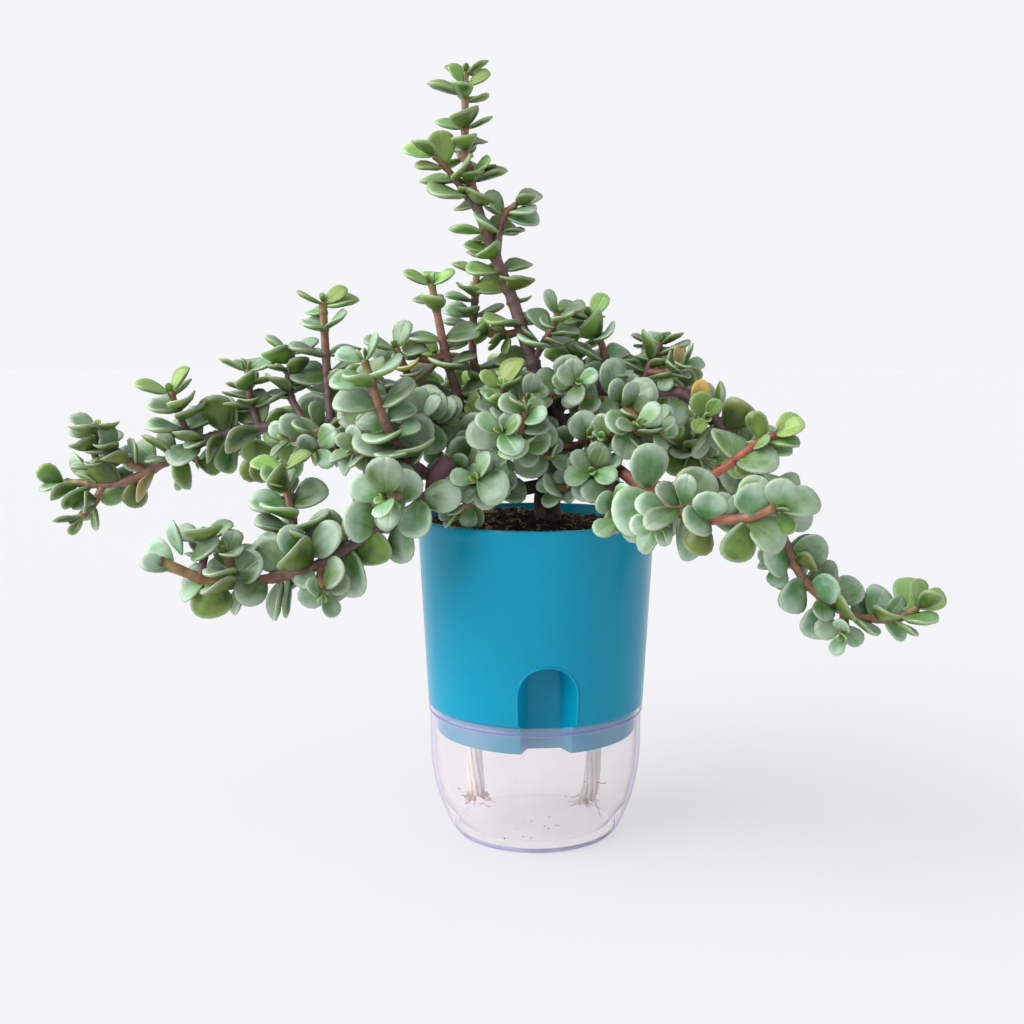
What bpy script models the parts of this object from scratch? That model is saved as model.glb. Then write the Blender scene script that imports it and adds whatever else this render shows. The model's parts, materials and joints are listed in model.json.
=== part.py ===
# Elephant bush with small round leaves, planted in a self-watering pot.
# Units are metres and +Z is up. The origin is on the ground, on the axis of the pot.
# The front of the pot, with its filling recess, faces -Y.

import math
import random

import bmesh
import bpy
from mathutils import Matrix, Vector
from mathutils.bvhtree import BVHTree

MM = 0.001
GAP = 0.3 * MM                # left between pieces that touch
END_LAP = 1.5 * MM            # how far a shoot starts inside its parent's end, before it is cut

# Inner pot: a tapered cup whose narrow skirt drops into the reservoir
RIM_RADIUS = 50.8 * MM        # four inches across the rim
RIM_HEIGHT = 135.2 * MM
RIM_BAND = 3.4 * MM           # height of the slightly thicker band at the rim
RIM_STEP = 0.7 * MM           # how far the band stands out from the wall
SHOULDER_RADIUS = 46.0 * MM   # lower edge of the tapered wall
SHOULDER_HEIGHT = 56.0 * MM
SKIRT_RADIUS = 42.6 * MM
SKIRT_BOTTOM = 44.0 * MM
POT_WALL = 1.7 * MM
POT_TURN = math.radians(5.0)  # the pot stands a little turned to the right

# Filling recess: an arched channel in the front wall, open down into the reservoir
RECESS_HALF_WIDTH = 12.8 * MM
RECESS_BACK_HALF_WIDTH = 6.7 * MM
RECESS_TOP = 81.0 * MM
RECESS_BACK = 33.0 * MM       # from the pot's axis to the back panel
RECESS_MOUTH = 46.5 * MM      # from the pot's axis to where the half width is measured

# Clear reservoir: a barrel-shaped cup
BARREL_RADIUS = 45.2 * MM
BASE_RADIUS = 35.2 * MM
BARREL_CURVE = 40.0 * MM      # height below which the wall curves in
BARREL_POWER = 2.2
LIP_RADIUS = 45.9 * MM
LIP_HEIGHT = 55.7 * MM
LIP_BAND = 2.4 * MM
RESERVOIR_WALL = 1.6 * MM
RESERVOIR_FLOOR = 2.4 * MM

# Wicks: cotton cords that hang through the pot's floor
WICK_RADIUS = 2.9 * MM
WICK_OFFSET = 26.0 * MM
WICK_BOTTOM = 11.0 * MM
WICK_TOP = 62.0 * MM

# Soil
SOIL_HEIGHT = 129.0 * MM      # at the wall
MOUND_HEIGHT = 6.0 * MM
MOUND_CENTRE = (-10 * MM, 10 * MM)
MOUND_SPREAD = 22 * MM
ROOT_DEPTH = 108 * MM         # height of the trunk's lower end, inside the soil
ROOT_HOLE_RADIUS = 8.2 * MM

# Leaves
LEAF_SIDES = 7
LEAF_BULGE = 1.25             # of the half width, for an outline widest beyond the middle
LEAF_NARROWING = 0.35         # how fast the outline narrows towards the foot
LEAF_CENTRE = 0.46            # place of the lowest point along the leaf
LEAF_UPPER_SHARE = 0.3        # of the thickness, above and below the rim
LEAF_LOWER_SHARE = 0.7
LEAF_THICKNESS = 0.165        # of the leaf's length
LEAF_MIN_THICKNESS = 1.7 * MM
LEAF_LEAN = 0.75              # how far leaves turn to the front or the back, against upwards
LEAF_MIDDLE = 15 * MM         # the plane between the leaves that turn forwards and backwards
LEAF_TRIES = 16
SPUR_RADIUS = 1.35 * MM
SPUR_TIP_RADIUS = 1.2 * MM
SPUR_SPACING = 7.5 * MM       # between the leaf pairs of a spur
SPUR_BARE = 4.5 * MM
FOOT_SHARE = 0.2              # where a leaf's foot lies in its stem, from centre to surface
FREE_FOOT = 0.13              # share of a leaf's length at its foot that may touch its stem
LEAF_CLEARANCE = 0.5 * MM
STEM_CLEARANCE = 0.45 * MM
SEED = 11
TWIST = 0.5                   # spread of the turn of the highest leaf pair, from left and right
SHORT_EDGES = (1.2 * MM, 0.8 * MM, 0.5 * MM)   # shorter edges are closed along the seams of fused pieces
KEPT_REACH = 0.8 * MM         # no edge is closed this near to where faces would cross
JOINT_MARGIN = 2.0 * MM       # nor this near to the joint with another piece
LIGHTEN_TRIES = 8
MIN_NECK = 0.05 * MM
MAX_FOLD = 0.75               # least cosine by which closing an edge may turn a face

POT_SEGMENTS = 32
WICK_SEGMENTS = 10

COLOURS = {                   # base colour, roughness, metallic
    "pot": ((0.035, 0.36, 0.56, 1), 0.25, 0),
    "clear": ((0.80, 0.76, 0.82, 1), 0.08, 0),
    "cotton": ((0.80, 0.77, 0.72, 1), 0.9, 0),
    "soil": ((0.035, 0.025, 0.02, 1), 0.95, 0),
    "wood": ((0.07, 0.045, 0.04, 1), 0.85, 0),
    "leaf": ((0.13, 0.30, 0.13, 1), 0.45, 0),
}


# Scene housekeeping

def clear_scene():
    for item in list(bpy.data.objects):
        bpy.data.objects.remove(item)


def material(name):
    found = bpy.data.materials.get(name)
    if found:
        return found
    colour, roughness, metallic = COLOURS[name]
    made = bpy.data.materials.new(name)
    made.use_nodes = True
    shader = made.node_tree.nodes["Principled BSDF"]
    shader.inputs["Base Color"].default_value = colour
    shader.inputs["Roughness"].default_value = roughness
    shader.inputs["Metallic"].default_value = metallic
    return made


def as_object(name, mesh, finish=None):
    data = bpy.data.meshes.new(name)
    mesh.to_mesh(data)
    mesh.free()
    made = bpy.data.objects.new(name, data)
    bpy.context.scene.collection.objects.link(made)
    if finish:
        data.materials.append(material(finish))
        data.shade_smooth()
        data.set_sharp_from_angle(angle=math.radians(40))
    return made


def as_guide(item):
    item.hide_render = True
    item.display_type = "WIRE"
    return item


def boolean(target, operation, other):
    modifier = target.modifiers.new(operation.lower(), "BOOLEAN")
    modifier.operation = operation
    if isinstance(other, bpy.types.Collection):
        modifier.operand_type = "COLLECTION"
        modifier.collection = other
    else:
        modifier.object = other


def apply_modifiers(item):
    bpy.context.view_layer.update()
    evaluated = item.evaluated_get(bpy.context.evaluated_depsgraph_get())
    data = bpy.data.meshes.new_from_object(evaluated)
    item.modifiers.clear()
    item.data = data


# Turned and lofted shapes

def turned(profile, segments=POT_SEGMENTS):
    # Spins a profile of (radius, height) points round the Z axis.
    mesh = bmesh.new()
    corners = [mesh.verts.new((radius, 0, height)) for radius, height in profile]
    edges = [mesh.edges.new(pair) for pair in zip(corners, corners[1:])]
    bmesh.ops.spin(mesh, geom=corners + edges, cent=(0, 0, 0), axis=(0, 0, 1),
                   angle=math.tau, steps=segments, use_merge=True)
    bmesh.ops.remove_doubles(mesh, verts=mesh.verts, dist=1e-6)
    bmesh.ops.dissolve_degenerate(mesh, edges=mesh.edges, dist=1e-6)
    bmesh.ops.recalc_face_normals(mesh, faces=mesh.faces)
    return mesh


def wall_radius(height):
    # Outer radius of the pot's tapered wall.
    share = (height - SHOULDER_HEIGHT) / (RIM_HEIGHT - SHOULDER_HEIGHT)
    return SHOULDER_RADIUS + share * (RIM_RADIUS - RIM_STEP - SHOULDER_RADIUS)


def barrel_radius(height):
    # Outer radius of the reservoir.
    drop = max(0.0, 1 - height / BARREL_CURVE) ** BARREL_POWER
    return BARREL_RADIUS - (BARREL_RADIUS - BASE_RADIUS) * drop


def arch_outline(half_width, top, bottom, depth, arc_steps=8):
    # Points of an arch in the plane y = -depth, from its left foot to its right foot.
    spring = RECESS_TOP - RECESS_HALF_WIDTH
    points = [(-half_width, -depth, bottom)]
    for step in range(arc_steps + 1):
        angle = math.pi * (1 - step / arc_steps)
        points.append((half_width * math.cos(angle), -depth,
                       spring + (top - spring) * math.sin(angle)))
    points.append((half_width, -depth, bottom))
    return points


def recess_solid(growth):
    # The channel's space, grown on every side but the open front.
    front_depth = RIM_RADIUS + 5 * MM
    back_depth = RECESS_BACK - growth
    slope = (RECESS_HALF_WIDTH - RECESS_BACK_HALF_WIDTH) / (RECESS_MOUTH - RECESS_BACK)
    sideways = growth * math.hypot(1, slope)
    front_half = RECESS_HALF_WIDTH + slope * (front_depth - RECESS_MOUTH) + sideways
    back_half = RECESS_HALF_WIDTH + slope * (back_depth - RECESS_MOUTH) + sideways
    top = RECESS_TOP + growth
    bottom = SKIRT_BOTTOM - 10 * MM
    mesh = bmesh.new()
    front, back = ([mesh.verts.new(point) for point in arch_outline(half, top, bottom, depth)]
                   for half, depth in ((front_half, front_depth), (back_half, back_depth)))
    mesh.faces.new(front)
    mesh.faces.new(back)

    # The sides are twisted, so both halves are split in triangles that mirror each other.
    for here in range(len(front)):
        there = (here + 1) % len(front)
        near, far = (here, there) if 2 * here + 1 < len(front) else (there, here)
        mesh.faces.new((front[near], front[far], back[near]))
        mesh.faces.new((front[far], back[near], back[far]))
    bmesh.ops.recalc_face_normals(mesh, faces=mesh.faces)
    return mesh


def upright_rod(radius, bottom, top, place, segments):
    mesh = bmesh.new()
    bmesh.ops.create_cone(mesh, cap_ends=True, segments=segments, radius1=radius,
                          radius2=radius, depth=top - bottom)
    bmesh.ops.translate(mesh, verts=mesh.verts, vec=(*place, (top + bottom) / 2))
    return mesh


# The pot and what it holds

def cavity_profile(shrink):
    # Inside of the pot from the middle of its floor to its wall, moved inwards by shrink.
    floor = SKIRT_BOTTOM + POT_WALL + shrink
    inset = POT_WALL + shrink
    step = SHOULDER_HEIGHT + POT_WALL + shrink
    return [
        (0, floor),
        (SKIRT_RADIUS - inset, floor),
        (SKIRT_RADIUS - inset, step - POT_WALL),
        (wall_radius(step) - inset, step + 3 * MM),
    ]


def make_reservoir(pot_axis):
    heights = [1.4 * MM, 6 * MM, 13 * MM, 24 * MM, 38 * MM]
    lip_bottom = LIP_HEIGHT - LIP_BAND
    outer = [(0, 0), (BASE_RADIUS - 1.2 * MM, 0)]
    outer += [(barrel_radius(height), height) for height in heights]
    outer += [(BARREL_RADIUS, lip_bottom), (LIP_RADIUS, lip_bottom + 0.6 * MM),
              (LIP_RADIUS, LIP_HEIGHT)]
    inner = [(BARREL_RADIUS - RESERVOIR_WALL, LIP_HEIGHT)]
    inner += [(barrel_radius(height) - RESERVOIR_WALL, height) for height in reversed(heights[2:])]
    inner += [(BASE_RADIUS - RESERVOIR_WALL, RESERVOIR_FLOOR), (0, RESERVOIR_FLOOR)]
    reservoir = as_object("reservoir", turned(outer + inner), "clear")
    reservoir.parent = pot_axis


def wick_places():
    return ("left", (-WICK_OFFSET, 0)), ("right", (WICK_OFFSET, 0))


def make_inner_pot(pot_axis):
    band_bottom = RIM_HEIGHT - RIM_BAND
    profile = [(0, SKIRT_BOTTOM), (SKIRT_RADIUS, SKIRT_BOTTOM),
               (SKIRT_RADIUS, SHOULDER_HEIGHT), (SHOULDER_RADIUS, SHOULDER_HEIGHT),
               (wall_radius(band_bottom), band_bottom),
               (RIM_RADIUS, band_bottom + 0.5 * MM), (RIM_RADIUS, RIM_HEIGHT)]
    pot = as_object("inner_pot", turned(profile + [(0, RIM_HEIGHT)]), "pot")
    cutter = as_object("recess_cutter", recess_solid(0))
    boolean(pot, "DIFFERENCE", as_guide(cutter))

    # The hollow keeps a wall's thickness round the recess.
    hollow = cavity_profile(0)
    hollow += [(RIM_RADIUS - RIM_STEP - POT_WALL, RIM_HEIGHT + MM), (0, RIM_HEIGHT + MM)]
    space = as_object("pot_hollow", turned(hollow))
    grown = as_object("recess_wall", recess_solid(POT_WALL))
    boolean(space, "DIFFERENCE", as_guide(grown))
    boolean(pot, "DIFFERENCE", as_guide(space))

    guides = [cutter, space, grown]
    for side, place in wick_places():
        hole = upright_rod(WICK_RADIUS + GAP, SKIRT_BOTTOM - MM, SKIRT_BOTTOM + 4 * MM,
                           place, WICK_SEGMENTS)
        drill = as_guide(as_object(f"wick_hole_{side}", hole))
        boolean(pot, "DIFFERENCE", drill)
        guides.append(drill)
    for item in [pot] + guides:
        item.parent = pot_axis


def make_wicks(pot_axis):
    for side, place in wick_places():
        rod = upright_rod(WICK_RADIUS, WICK_BOTTOM, WICK_TOP, place, WICK_SEGMENTS)
        wick = as_object(f"wick_{side}", rod, "cotton")
        wick.parent = pot_axis


def soil_height(x, y):
    # A low mound beside the trunk, with small hollows.
    across = (x - MOUND_CENTRE[0]) ** 2 + (y - MOUND_CENTRE[1]) ** 2
    mound = MOUND_HEIGHT * math.exp(-across / (2 * MOUND_SPREAD ** 2))
    ripple = 0.5 * MM * math.sin(x / (5 * MM)) * math.cos(y / (6 * MM))
    return SOIL_HEIGHT + mound + ripple


def make_soil(pot_axis):
    rings = [0.97, 0.6]
    edge_radius = wall_radius(SOIL_HEIGHT) - POT_WALL - GAP
    profile = cavity_profile(GAP) + [(edge_radius, SOIL_HEIGHT)]
    profile += [(edge_radius * share, SOIL_HEIGHT) for share in rings] + [(0, SOIL_HEIGHT)]
    mesh = turned(profile)
    for vert in mesh.verts:
        if vert.co.z > SOIL_HEIGHT - 0.01 * MM and vert.co.xy.length < edge_radius * 0.98:
            vert.co.z = soil_height(vert.co.x, vert.co.y)
    bmesh.ops.triangulate(mesh, faces=mesh.faces)
    soil = as_object("soil", mesh, "soil")
    grown = as_object("recess_clearance", recess_solid(POT_WALL + GAP))
    boolean(soil, "DIFFERENCE", as_guide(grown))
    guides = [grown]
    for side, place in wick_places():
        hole = upright_rod(WICK_RADIUS + GAP, SKIRT_BOTTOM, WICK_TOP + GAP, place, WICK_SEGMENTS)
        guides.append(as_guide(as_object(f"wick_socket_{side}", hole)))
        boolean(soil, "DIFFERENCE", guides[-1])
    for item in [soil] + guides:
        item.parent = pot_axis

    # The trunk stands in a plain hole, which isn't turned with the pot.
    foot = TRUNK_POINTS[0]
    root_hole = upright_rod(ROOT_HOLE_RADIUS, ROOT_DEPTH - GAP, RIM_HEIGHT + 10 * MM,
                            (foot[0] * MM, foot[1] * MM), 10)
    boolean(soil, "DIFFERENCE", as_guide(as_object("root_hole", root_hole)))


# Stems

class Stem:
    # A smooth, tapering stem through hand-chosen points.

    def __init__(self, points, radii, step):
        self.path = smooth_path(points, step)
        self.reach = [0.0]
        for here, there in zip(self.path, self.path[1:]):
            self.reach.append(self.reach[-1] + (there - here).length)
        self.length = self.reach[-1]
        self.radii = radii

    def at(self, distance):
        # Point and direction at a distance from the base.
        distance = min(max(distance, 0.0), self.length)
        index = 0
        while index < len(self.reach) - 2 and self.reach[index + 1] < distance:
            index += 1
        start, end = self.path[index], self.path[index + 1]
        share = (distance - self.reach[index]) / (self.reach[index + 1] - self.reach[index])
        return start.lerp(end, share), (end - start).normalized()

    def radius(self, distance):
        # The radii are evenly spaced from the base to the tip.
        share = min(max(distance / self.length, 0.0), 1.0) * (len(self.radii) - 1)
        index = min(int(share), len(self.radii) - 2)
        low, high = self.radii[index], self.radii[index + 1]
        return low + (high - low) * (share - index)


def smooth_path(points, step):
    # A Catmull-Rom curve through the points, sampled about one step apart.
    ends = [points[0] * 2 - points[1]] + points + [points[-1] * 2 - points[-2]]
    path = [points[0].copy()]
    for a, b, c, d in zip(ends, ends[1:], ends[2:], ends[3:]):
        count = max(1, round((c - b).length / step))
        for index in range(1, count + 1):
            t = index / count
            path.append(0.5 * (2 * b + (c - a) * t + (2 * a - 5 * b + 4 * c - d) * t ** 2
                               + (3 * b - a - 3 * c + d) * t ** 3))
    return path


def tube(name, stem, growth=0.0, resolution=1):
    # A curve with a bevel and filled caps, made into a mesh.
    curve = bpy.data.curves.new(name, "CURVE")
    curve.dimensions = "3D"
    curve.bevel_depth = 1.0
    curve.bevel_resolution = resolution
    curve.use_fill_caps = True
    points = [point.copy() for point in stem.path]
    if growth:
        points[-1] += (points[-1] - points[-2]).normalized() * growth
    spline = curve.splines.new("POLY")
    spline.points.add(len(points) - 1)
    for place, point, distance in zip(spline.points, points, stem.reach):
        place.co = (*point, 1)
        place.radius = stem.radius(distance) + growth
    holder = bpy.data.objects.new(name, curve)
    bpy.context.scene.collection.objects.link(holder)
    bpy.context.view_layer.update()
    data = bpy.data.meshes.new_from_object(
        holder.evaluated_get(bpy.context.evaluated_depsgraph_get()))
    bpy.data.objects.remove(holder)
    mesh = bmesh.new()
    mesh.from_mesh(data)
    bpy.data.meshes.remove(data)
    bmesh.ops.remove_doubles(mesh, verts=mesh.verts, dist=1e-6)
    bmesh.ops.recalc_face_normals(mesh, faces=mesh.faces)
    return mesh


# What a new piece has to stay clear of

class Guard:
    # A solid's surface with its box, for quick crossing tests.

    def __init__(self, points, faces, owner):
        self.tree = BVHTree.FromPolygons(points, faces)
        self.low = Vector(min(point[axis] for point in points) for axis in range(3))
        self.high = Vector(max(point[axis] for point in points) for axis in range(3))
        self.owner = owner

    def crosses(self, other):
        for axis in range(3):
            if self.low[axis] > other.high[axis] or self.high[axis] < other.low[axis]:
                return False
        return bool(self.tree.overlap(other.tree))


def guard_of(mesh, owner):
    mesh.verts.index_update()
    points = [vert.co.copy() for vert in mesh.verts]
    faces = [[vert.index for vert in face.verts] for face in mesh.faces]
    mesh.free()
    return Guard(points, faces, owner)


# Leaves

def leaf_point(x, y, z, length, width, thickness, cup, bend):
    # Maps a point of the unit sphere to a leaf that grows along +X and faces +Z. The foot is at -X.
    angle = math.atan2(y, x)
    spread = math.hypot(x, y)
    outline_x = 0.5 + 0.5 * math.cos(angle)
    outline_y = LEAF_BULGE * math.sin(angle) * max(outline_x, 0.0) ** LEAF_NARROWING
    along = LEAF_CENTRE + (outline_x - LEAF_CENTRE) * spread
    across = outline_y * spread
    belly = z * (LEAF_UPPER_SHARE if z > 0 else LEAF_LOWER_SHARE)
    height = thickness * belly + cup * width * across ** 2 - bend * length * along ** 2
    return Vector((along * length, across * width / 2, height))


def unit_leaf():
    # A ring of corners round the rim, a flat upper face and one low point underneath.
    # The first corner is the foot.
    turns = [math.pi + math.tau * side / LEAF_SIDES for side in range(LEAF_SIDES)]
    points = [(math.cos(turn), math.sin(turn), 0.0) for turn in turns]
    points.append((0.0, 0.0, -1.0))
    faces = [(here, LEAF_SIDES, (here + 1) % LEAF_SIDES) for here in range(LEAF_SIDES)]
    left, right = 1, LEAF_SIDES - 1
    faces.append((0, left, right))
    while right - left > 1:
        faces.append((left, left + 1, right))
        left += 1
        if right - left > 1:
            faces.append((left, right - 1, right))
            right -= 1
    return points, faces


def unit_guard():
    # The leaf's form for crossing tests, with a high and a low point.
    points, _ = unit_leaf()
    points.append((0.0, 0.0, 1.0))
    sides = range(LEAF_SIDES)
    faces = [(here, LEAF_SIDES + pole, (here + 1) % LEAF_SIDES) for here in sides for pole in (0, 1)]
    return points, faces


class Leaf:

    def __init__(self, root, outward, face, length, width, cup, bend):
        forward = outward.normalized()
        normal = face - forward * face.dot(forward)
        normal.normalize()
        sideways = normal.cross(forward)
        self.frame = Matrix((forward, sideways, normal)).transposed().to_4x4()
        self.frame.translation = root
        self.shape = (length, width, max(LEAF_MIN_THICKNESS, length * LEAF_THICKNESS), cup, bend)

    def points(self, sphere):
        return [self.frame @ leaf_point(*point, *self.shape) for point in sphere]

    def guard(self, sphere, faces, owner):
        # The blade without its foot, a little thicker and wider than the leaf.
        length, width, thickness, cup, bend = self.shape
        shape = (length, width + 2 * LEAF_CLEARANCE, thickness + 4 * LEAF_CLEARANCE, cup, bend)
        foot, tip = FREE_FOOT * length, length + LEAF_CLEARANCE
        points = []
        for point in sphere:
            place = leaf_point(*point, *shape)
            place.x = foot + (tip - foot) * place.x / length
            points.append(self.frame @ place)
        return Guard(points, faces, owner)


# The plant's skeleton, in millimetres

TRUNK_POINTS = [(5, 0, 108), (5, 0, 131), (5, 1, 141), (6, 2, 151), (7, 4, 164), (6, 4, 177),
                (4, 3, 186)]

LIMBS = {
    # name: radii from base to tip, points
    "limb_left": ((3.5, 2.9, 2.4, 2.2),
                  [(6, 3, 161), (-7, 4, 167), (-24, 4, 171), (-45, 4, 174), (-66, 3, 176),
                   (-87, 2, 175), (-103, 0, 174)]),
    "limb_low_left": ((3.2, 2.5), [(5, 0, 149), (-11, -10, 147), (-27, -25, 150), (-40, -40, 149)]),
    "limb_right": ((3.4, 2.4), [(5, 4, 181), (17, 4, 184), (31, 2, 186), (48, 0, 187)]),
    "limb_low_right": ((3.0, 2.3), [(6, 2, 158), (20, -15, 162), (32, -35, 158)]),
    "limb_back": ((3.0, 2.3), [(7, 4, 168), (2, 22, 172), (-4, 45, 176)]),
    "limb_back_right": ((2.8, 2.2), [(6, 4, 174), (24, 24, 177), (44, 40, 173)]),
}

# Each leafy shoot: what it grows from and where along it, its points, its radii at base
# and tip, the length of its lowest and highest leaves, the distance between leaf pairs,
# the bare length at its base, and how many leafy spurs it has.
SHOOTS = {
    "leader": ("trunk", 1.0, [(-3, 0, 204), (-10, 2, 226), (-19, 0, 248), (-25, -2, 266),
                              (-29, -3, 285), (-29, 0, 317)],
               (2.9, 1.0), (14, 11), 10.5, 8, 3),
    "leader_twig_left": ("leader", 0.58, [(-35, -5, 276), (-42, -8, 283)],
                         (1.2, 0.9), (15, 13), 6.5, 6, 0),
    "leader_twig_right": ("leader", 0.44, [(-14, -4, 258), (-8, -6, 264)],
                          (1.2, 0.9), (14, 13), 6.5, 6, 0),
    "leader_twig_low": ("leader", 0.12, [(6, -5, 213), (9, -7, 220)],
                        (1.3, 1.0), (14, 12), 8.0, 6, 0),
    "riser_near": ("limb_left", 0.33, [(-33, 0, 186), (-38, -4, 205), (-43, -8, 232)],
                   (1.9, 1.1), (15, 13), 11.0, 12, 1),
    "riser_mid": ("limb_left", 0.26, [(-23, 13, 186), (-27, 15, 205), (-25, 10, 238)],
                  (1.9, 1.1), (15, 12), 9.5, 12, 1),
    "riser_far": ("limb_left", 0.85, [(-88, 2, 200), (-89, 2, 225)],
                  (1.7, 1.2), (14, 13), 11.0, 8, 0),
    "far_left": ("limb_left", 1.0, [(-125, 2, 171), (-143, 4, 166), (-165, 8, 154),
                                    (-181, 10, 148), (-205, 14, 148)],
                 (2.1, 1.3), (17, 16), 13.5, 14, 4),
    "far_left_riser_1": ("far_left", 0.42, [(-150, 1, 178), (-153, -1, 188)],
                         (1.3, 1.0), (15, 15), 8.0, 7, 0),
    "far_left_riser_2": ("far_left", 0.80, [(-189, 9, 160), (-187, 6, 171)],
                         (1.3, 1.0), (15, 15), 8.0, 6, 0),
    "far_left_riser_3": ("far_left", 0.14, [(-121, 5, 184), (-122, 6, 197)],
                         (1.3, 1.0), (15, 14), 8.0, 6, 0),
    "far_left_riser_4": ("limb_left", 0.95, [(-105, 8, 188), (-104, 11, 204)],
                         (1.4, 1.0), (14, 13), 8.5, 8, 0),
    "mid_left": ("limb_low_left", 0.86, [(-50, -42, 162), (-58, -48, 176), (-66, -50, 201)],
                 (1.9, 1.2), (17, 14), 9.5, 10, 1),
    "lower_left": ("limb_low_left", 1.0, [(-51, -48, 142), (-64, -52, 135), (-79, -56, 126),
                                          (-91, -58, 121), (-118, -62, 117), (-137, -65, 124)],
                   (2.2, 1.5), (19, 16), 13.0, 6, 3),
    "low_front": ("lower_left", 0.06, [(-47, -55, 150), (-57, -66, 150)],
                  (1.6, 1.2), (19, 18), 9.0, 7, 0),
    "low_end_riser": ("lower_left", 0.90, [(-126, -61, 127), (-127, -58, 134)],
                      (1.3, 1.0), (15, 14), 7.0, 6, 0),
    "low_riser": ("lower_left", 0.55, [(-94, -48, 137), (-99, -42, 159)],
                  (1.5, 1.0), (16, 14), 8.0, 8, 0),
    "left_front": ("limb_left", 0.66, [(-65, -14, 178), (-64, -30, 172)],
                   (1.5, 1.1), (16, 15), 8.0, 6, 2),
    "left_hang": ("limb_left", 0.86, [(-88, -12, 172), (-90, -22, 164)],
                  (1.5, 1.1), (16, 15), 8.0, 6, 2),
    "left_inner": ("limb_left", 0.42, [(-42, -14, 176), (-46, -30, 178)],
                   (1.6, 1.1), (16, 15), 9.0, 6, 1),
    "left_top": ("limb_left", 0.52, [(-52, -2, 190), (-58, -6, 206)],
                 (1.5, 1.1), (15, 14), 8.0, 7, 1),
    "left_back": ("limb_left", 0.72, [(-78, 26, 184), (-84, 50, 190)],
                  (1.6, 1.1), (16, 15), 11.0, 8, 0),
    "left_low_back": ("limb_left", 0.92, [(-102, 26, 168), (-122, 46, 158), (-138, 60, 158)],
                      (1.7, 1.2), (17, 16), 13, 9, 0),
    "centre_front": ("trunk", 0.66, [(0, -22, 168), (-8, -40, 168), (-14, -54, 174)],
                     (2.0, 1.2), (16, 13), 9.5, 8, 3),
    "centre_top": ("limb_left", 0.10, [(-10, -12, 178), (-14, -26, 190)],
                   (1.6, 1.1), (15, 13), 8.0, 7, 2),
    "centre_left": ("limb_left", 0.21, [(-22, -16, 166), (-30, -36, 158)],
                    (1.7, 1.2), (16, 14), 8.0, 8, 2),
    "centre_low": ("limb_low_left", 0.42, [(-19, -33, 152), (-24, -51, 156)],
                   (1.6, 1.2), (16, 14), 8.0, 8, 1),
    "right_riser": ("limb_right", 0.45, [(29, 4, 201), (23, 8, 219)],
                    (1.6, 1.1), (15, 14), 9.0, 7, 0),
    "right_top": ("limb_right", 0.88, [(48, 6, 198), (53, 10, 208)],
                  (1.5, 1.1), (15, 13), 8.0, 6, 2),
    "right_front": ("limb_right", 0.62, [(34, -16, 185), (39, -34, 177)],
                    (1.6, 1.1), (16, 14), 9.0, 6, 2),
    "right_crown": ("limb_right", 0.22, [(14, -12, 190), (16, -24, 192)],
                    (1.5, 1.1), (15, 13), 8.0, 6, 1),
    "right": ("limb_right", 1.0, [(61, -2, 187), (70, -6, 179), (80, -10, 170), (92, -14, 156),
                                  (98, -20, 136), (103, -24, 122), (111, -28, 109),
                                  (126, -32, 99), (143, -34, 98), (152, -36, 103)],
              (2.3, 1.2), (17, 14), 13.0, 6, 4),
    "low_right": ("limb_low_right", 1.0, [(43, -60, 150), (54, -78, 145), (69, -90, 145),
                                          (81, -96, 150)],
                  (2.0, 1.4), (20, 18), 11.5, 16, 1),
    "red_shoot": ("low_right", 0.16, [(52, -44, 152), (68, -40, 156), (84, -38, 167),
                                      (93, -38, 172)],
                  (1.6, 1.2), (16, 16), 10.0, 34, 0),
    "right_mid": ("limb_low_right", 0.60, [(31, -27, 171), (38, -42, 176)],
                  (1.6, 1.2), (16, 14), 8.0, 8, 2),
    "right_inner": ("limb_low_right", 0.34, [(17, -20, 166), (20, -32, 171)],
                    (1.5, 1.1), (15, 14), 7.5, 5, 1),
    "right_under": ("limb_low_right", 0.50, [(23, -30, 157), (21, -43, 158)],
                    (1.5, 1.1), (15, 14), 7.5, 5, 1),
    "rim_spray": ("limb_low_right", 0.89, [(28, -46, 148), (30, -55, 140)],
                  (1.4, 1.1), (16, 15), 8.0, 6, 0),
    "back": ("limb_back", 1.0, [(-8, 68, 183), (-12, 92, 196)],
             (2.0, 1.2), (17, 14), 13, 8, 1),
    "back_left": ("limb_back", 0.62, [(-28, 46, 182), (-58, 68, 178), (-84, 82, 168)],
                  (1.8, 1.2), (17, 16), 13.5, 10, 1),
    "back_right": ("limb_back_right", 1.0, [(62, 56, 166), (84, 70, 152), (98, 78, 142)],
                   (1.9, 1.2), (17, 16), 13.5, 8, 1),
    "back_riser": ("limb_back_right", 0.55, [(22, 42, 194), (16, 54, 216)],
                   (1.6, 1.1), (15, 13), 9.5, 8, 0),
    "right_back": ("limb_right", 0.78, [(50, 24, 192), (64, 44, 194)],
                   (1.6, 1.1), (16, 15), 10.5, 8, 0),
}
TRUNK_RADII = (6.6, 6.3, 5.9, 5.6, 5.8, 6.8, 5.2)
STEM_STEP = 11.0 * MM
SPUR_STEP = 8.0 * MM


def vectors(points):
    return [Vector(point) * MM for point in points]


def in_metres(values):
    return [value * MM for value in values]


def grow_skeleton():
    # The trunk, its limbs and the leafy shoots, each starting where its parent carries it.
    stems = {"trunk": Stem(vectors(TRUNK_POINTS), in_metres(TRUNK_RADII), STEM_STEP)}
    for name, (radii, points) in LIMBS.items():
        stems[name] = Stem(vectors(points), in_metres(radii), STEM_STEP)
    for name, (parent, share, points, radii, *_) in SHOOTS.items():
        carrier = stems[parent]
        start, direction = carrier.at(carrier.length * share)
        if share == 1.0:
            start = start - direction * END_LAP
        stems[name] = Stem([start] + vectors(points), in_metres(radii), STEM_STEP)
    return stems


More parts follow.
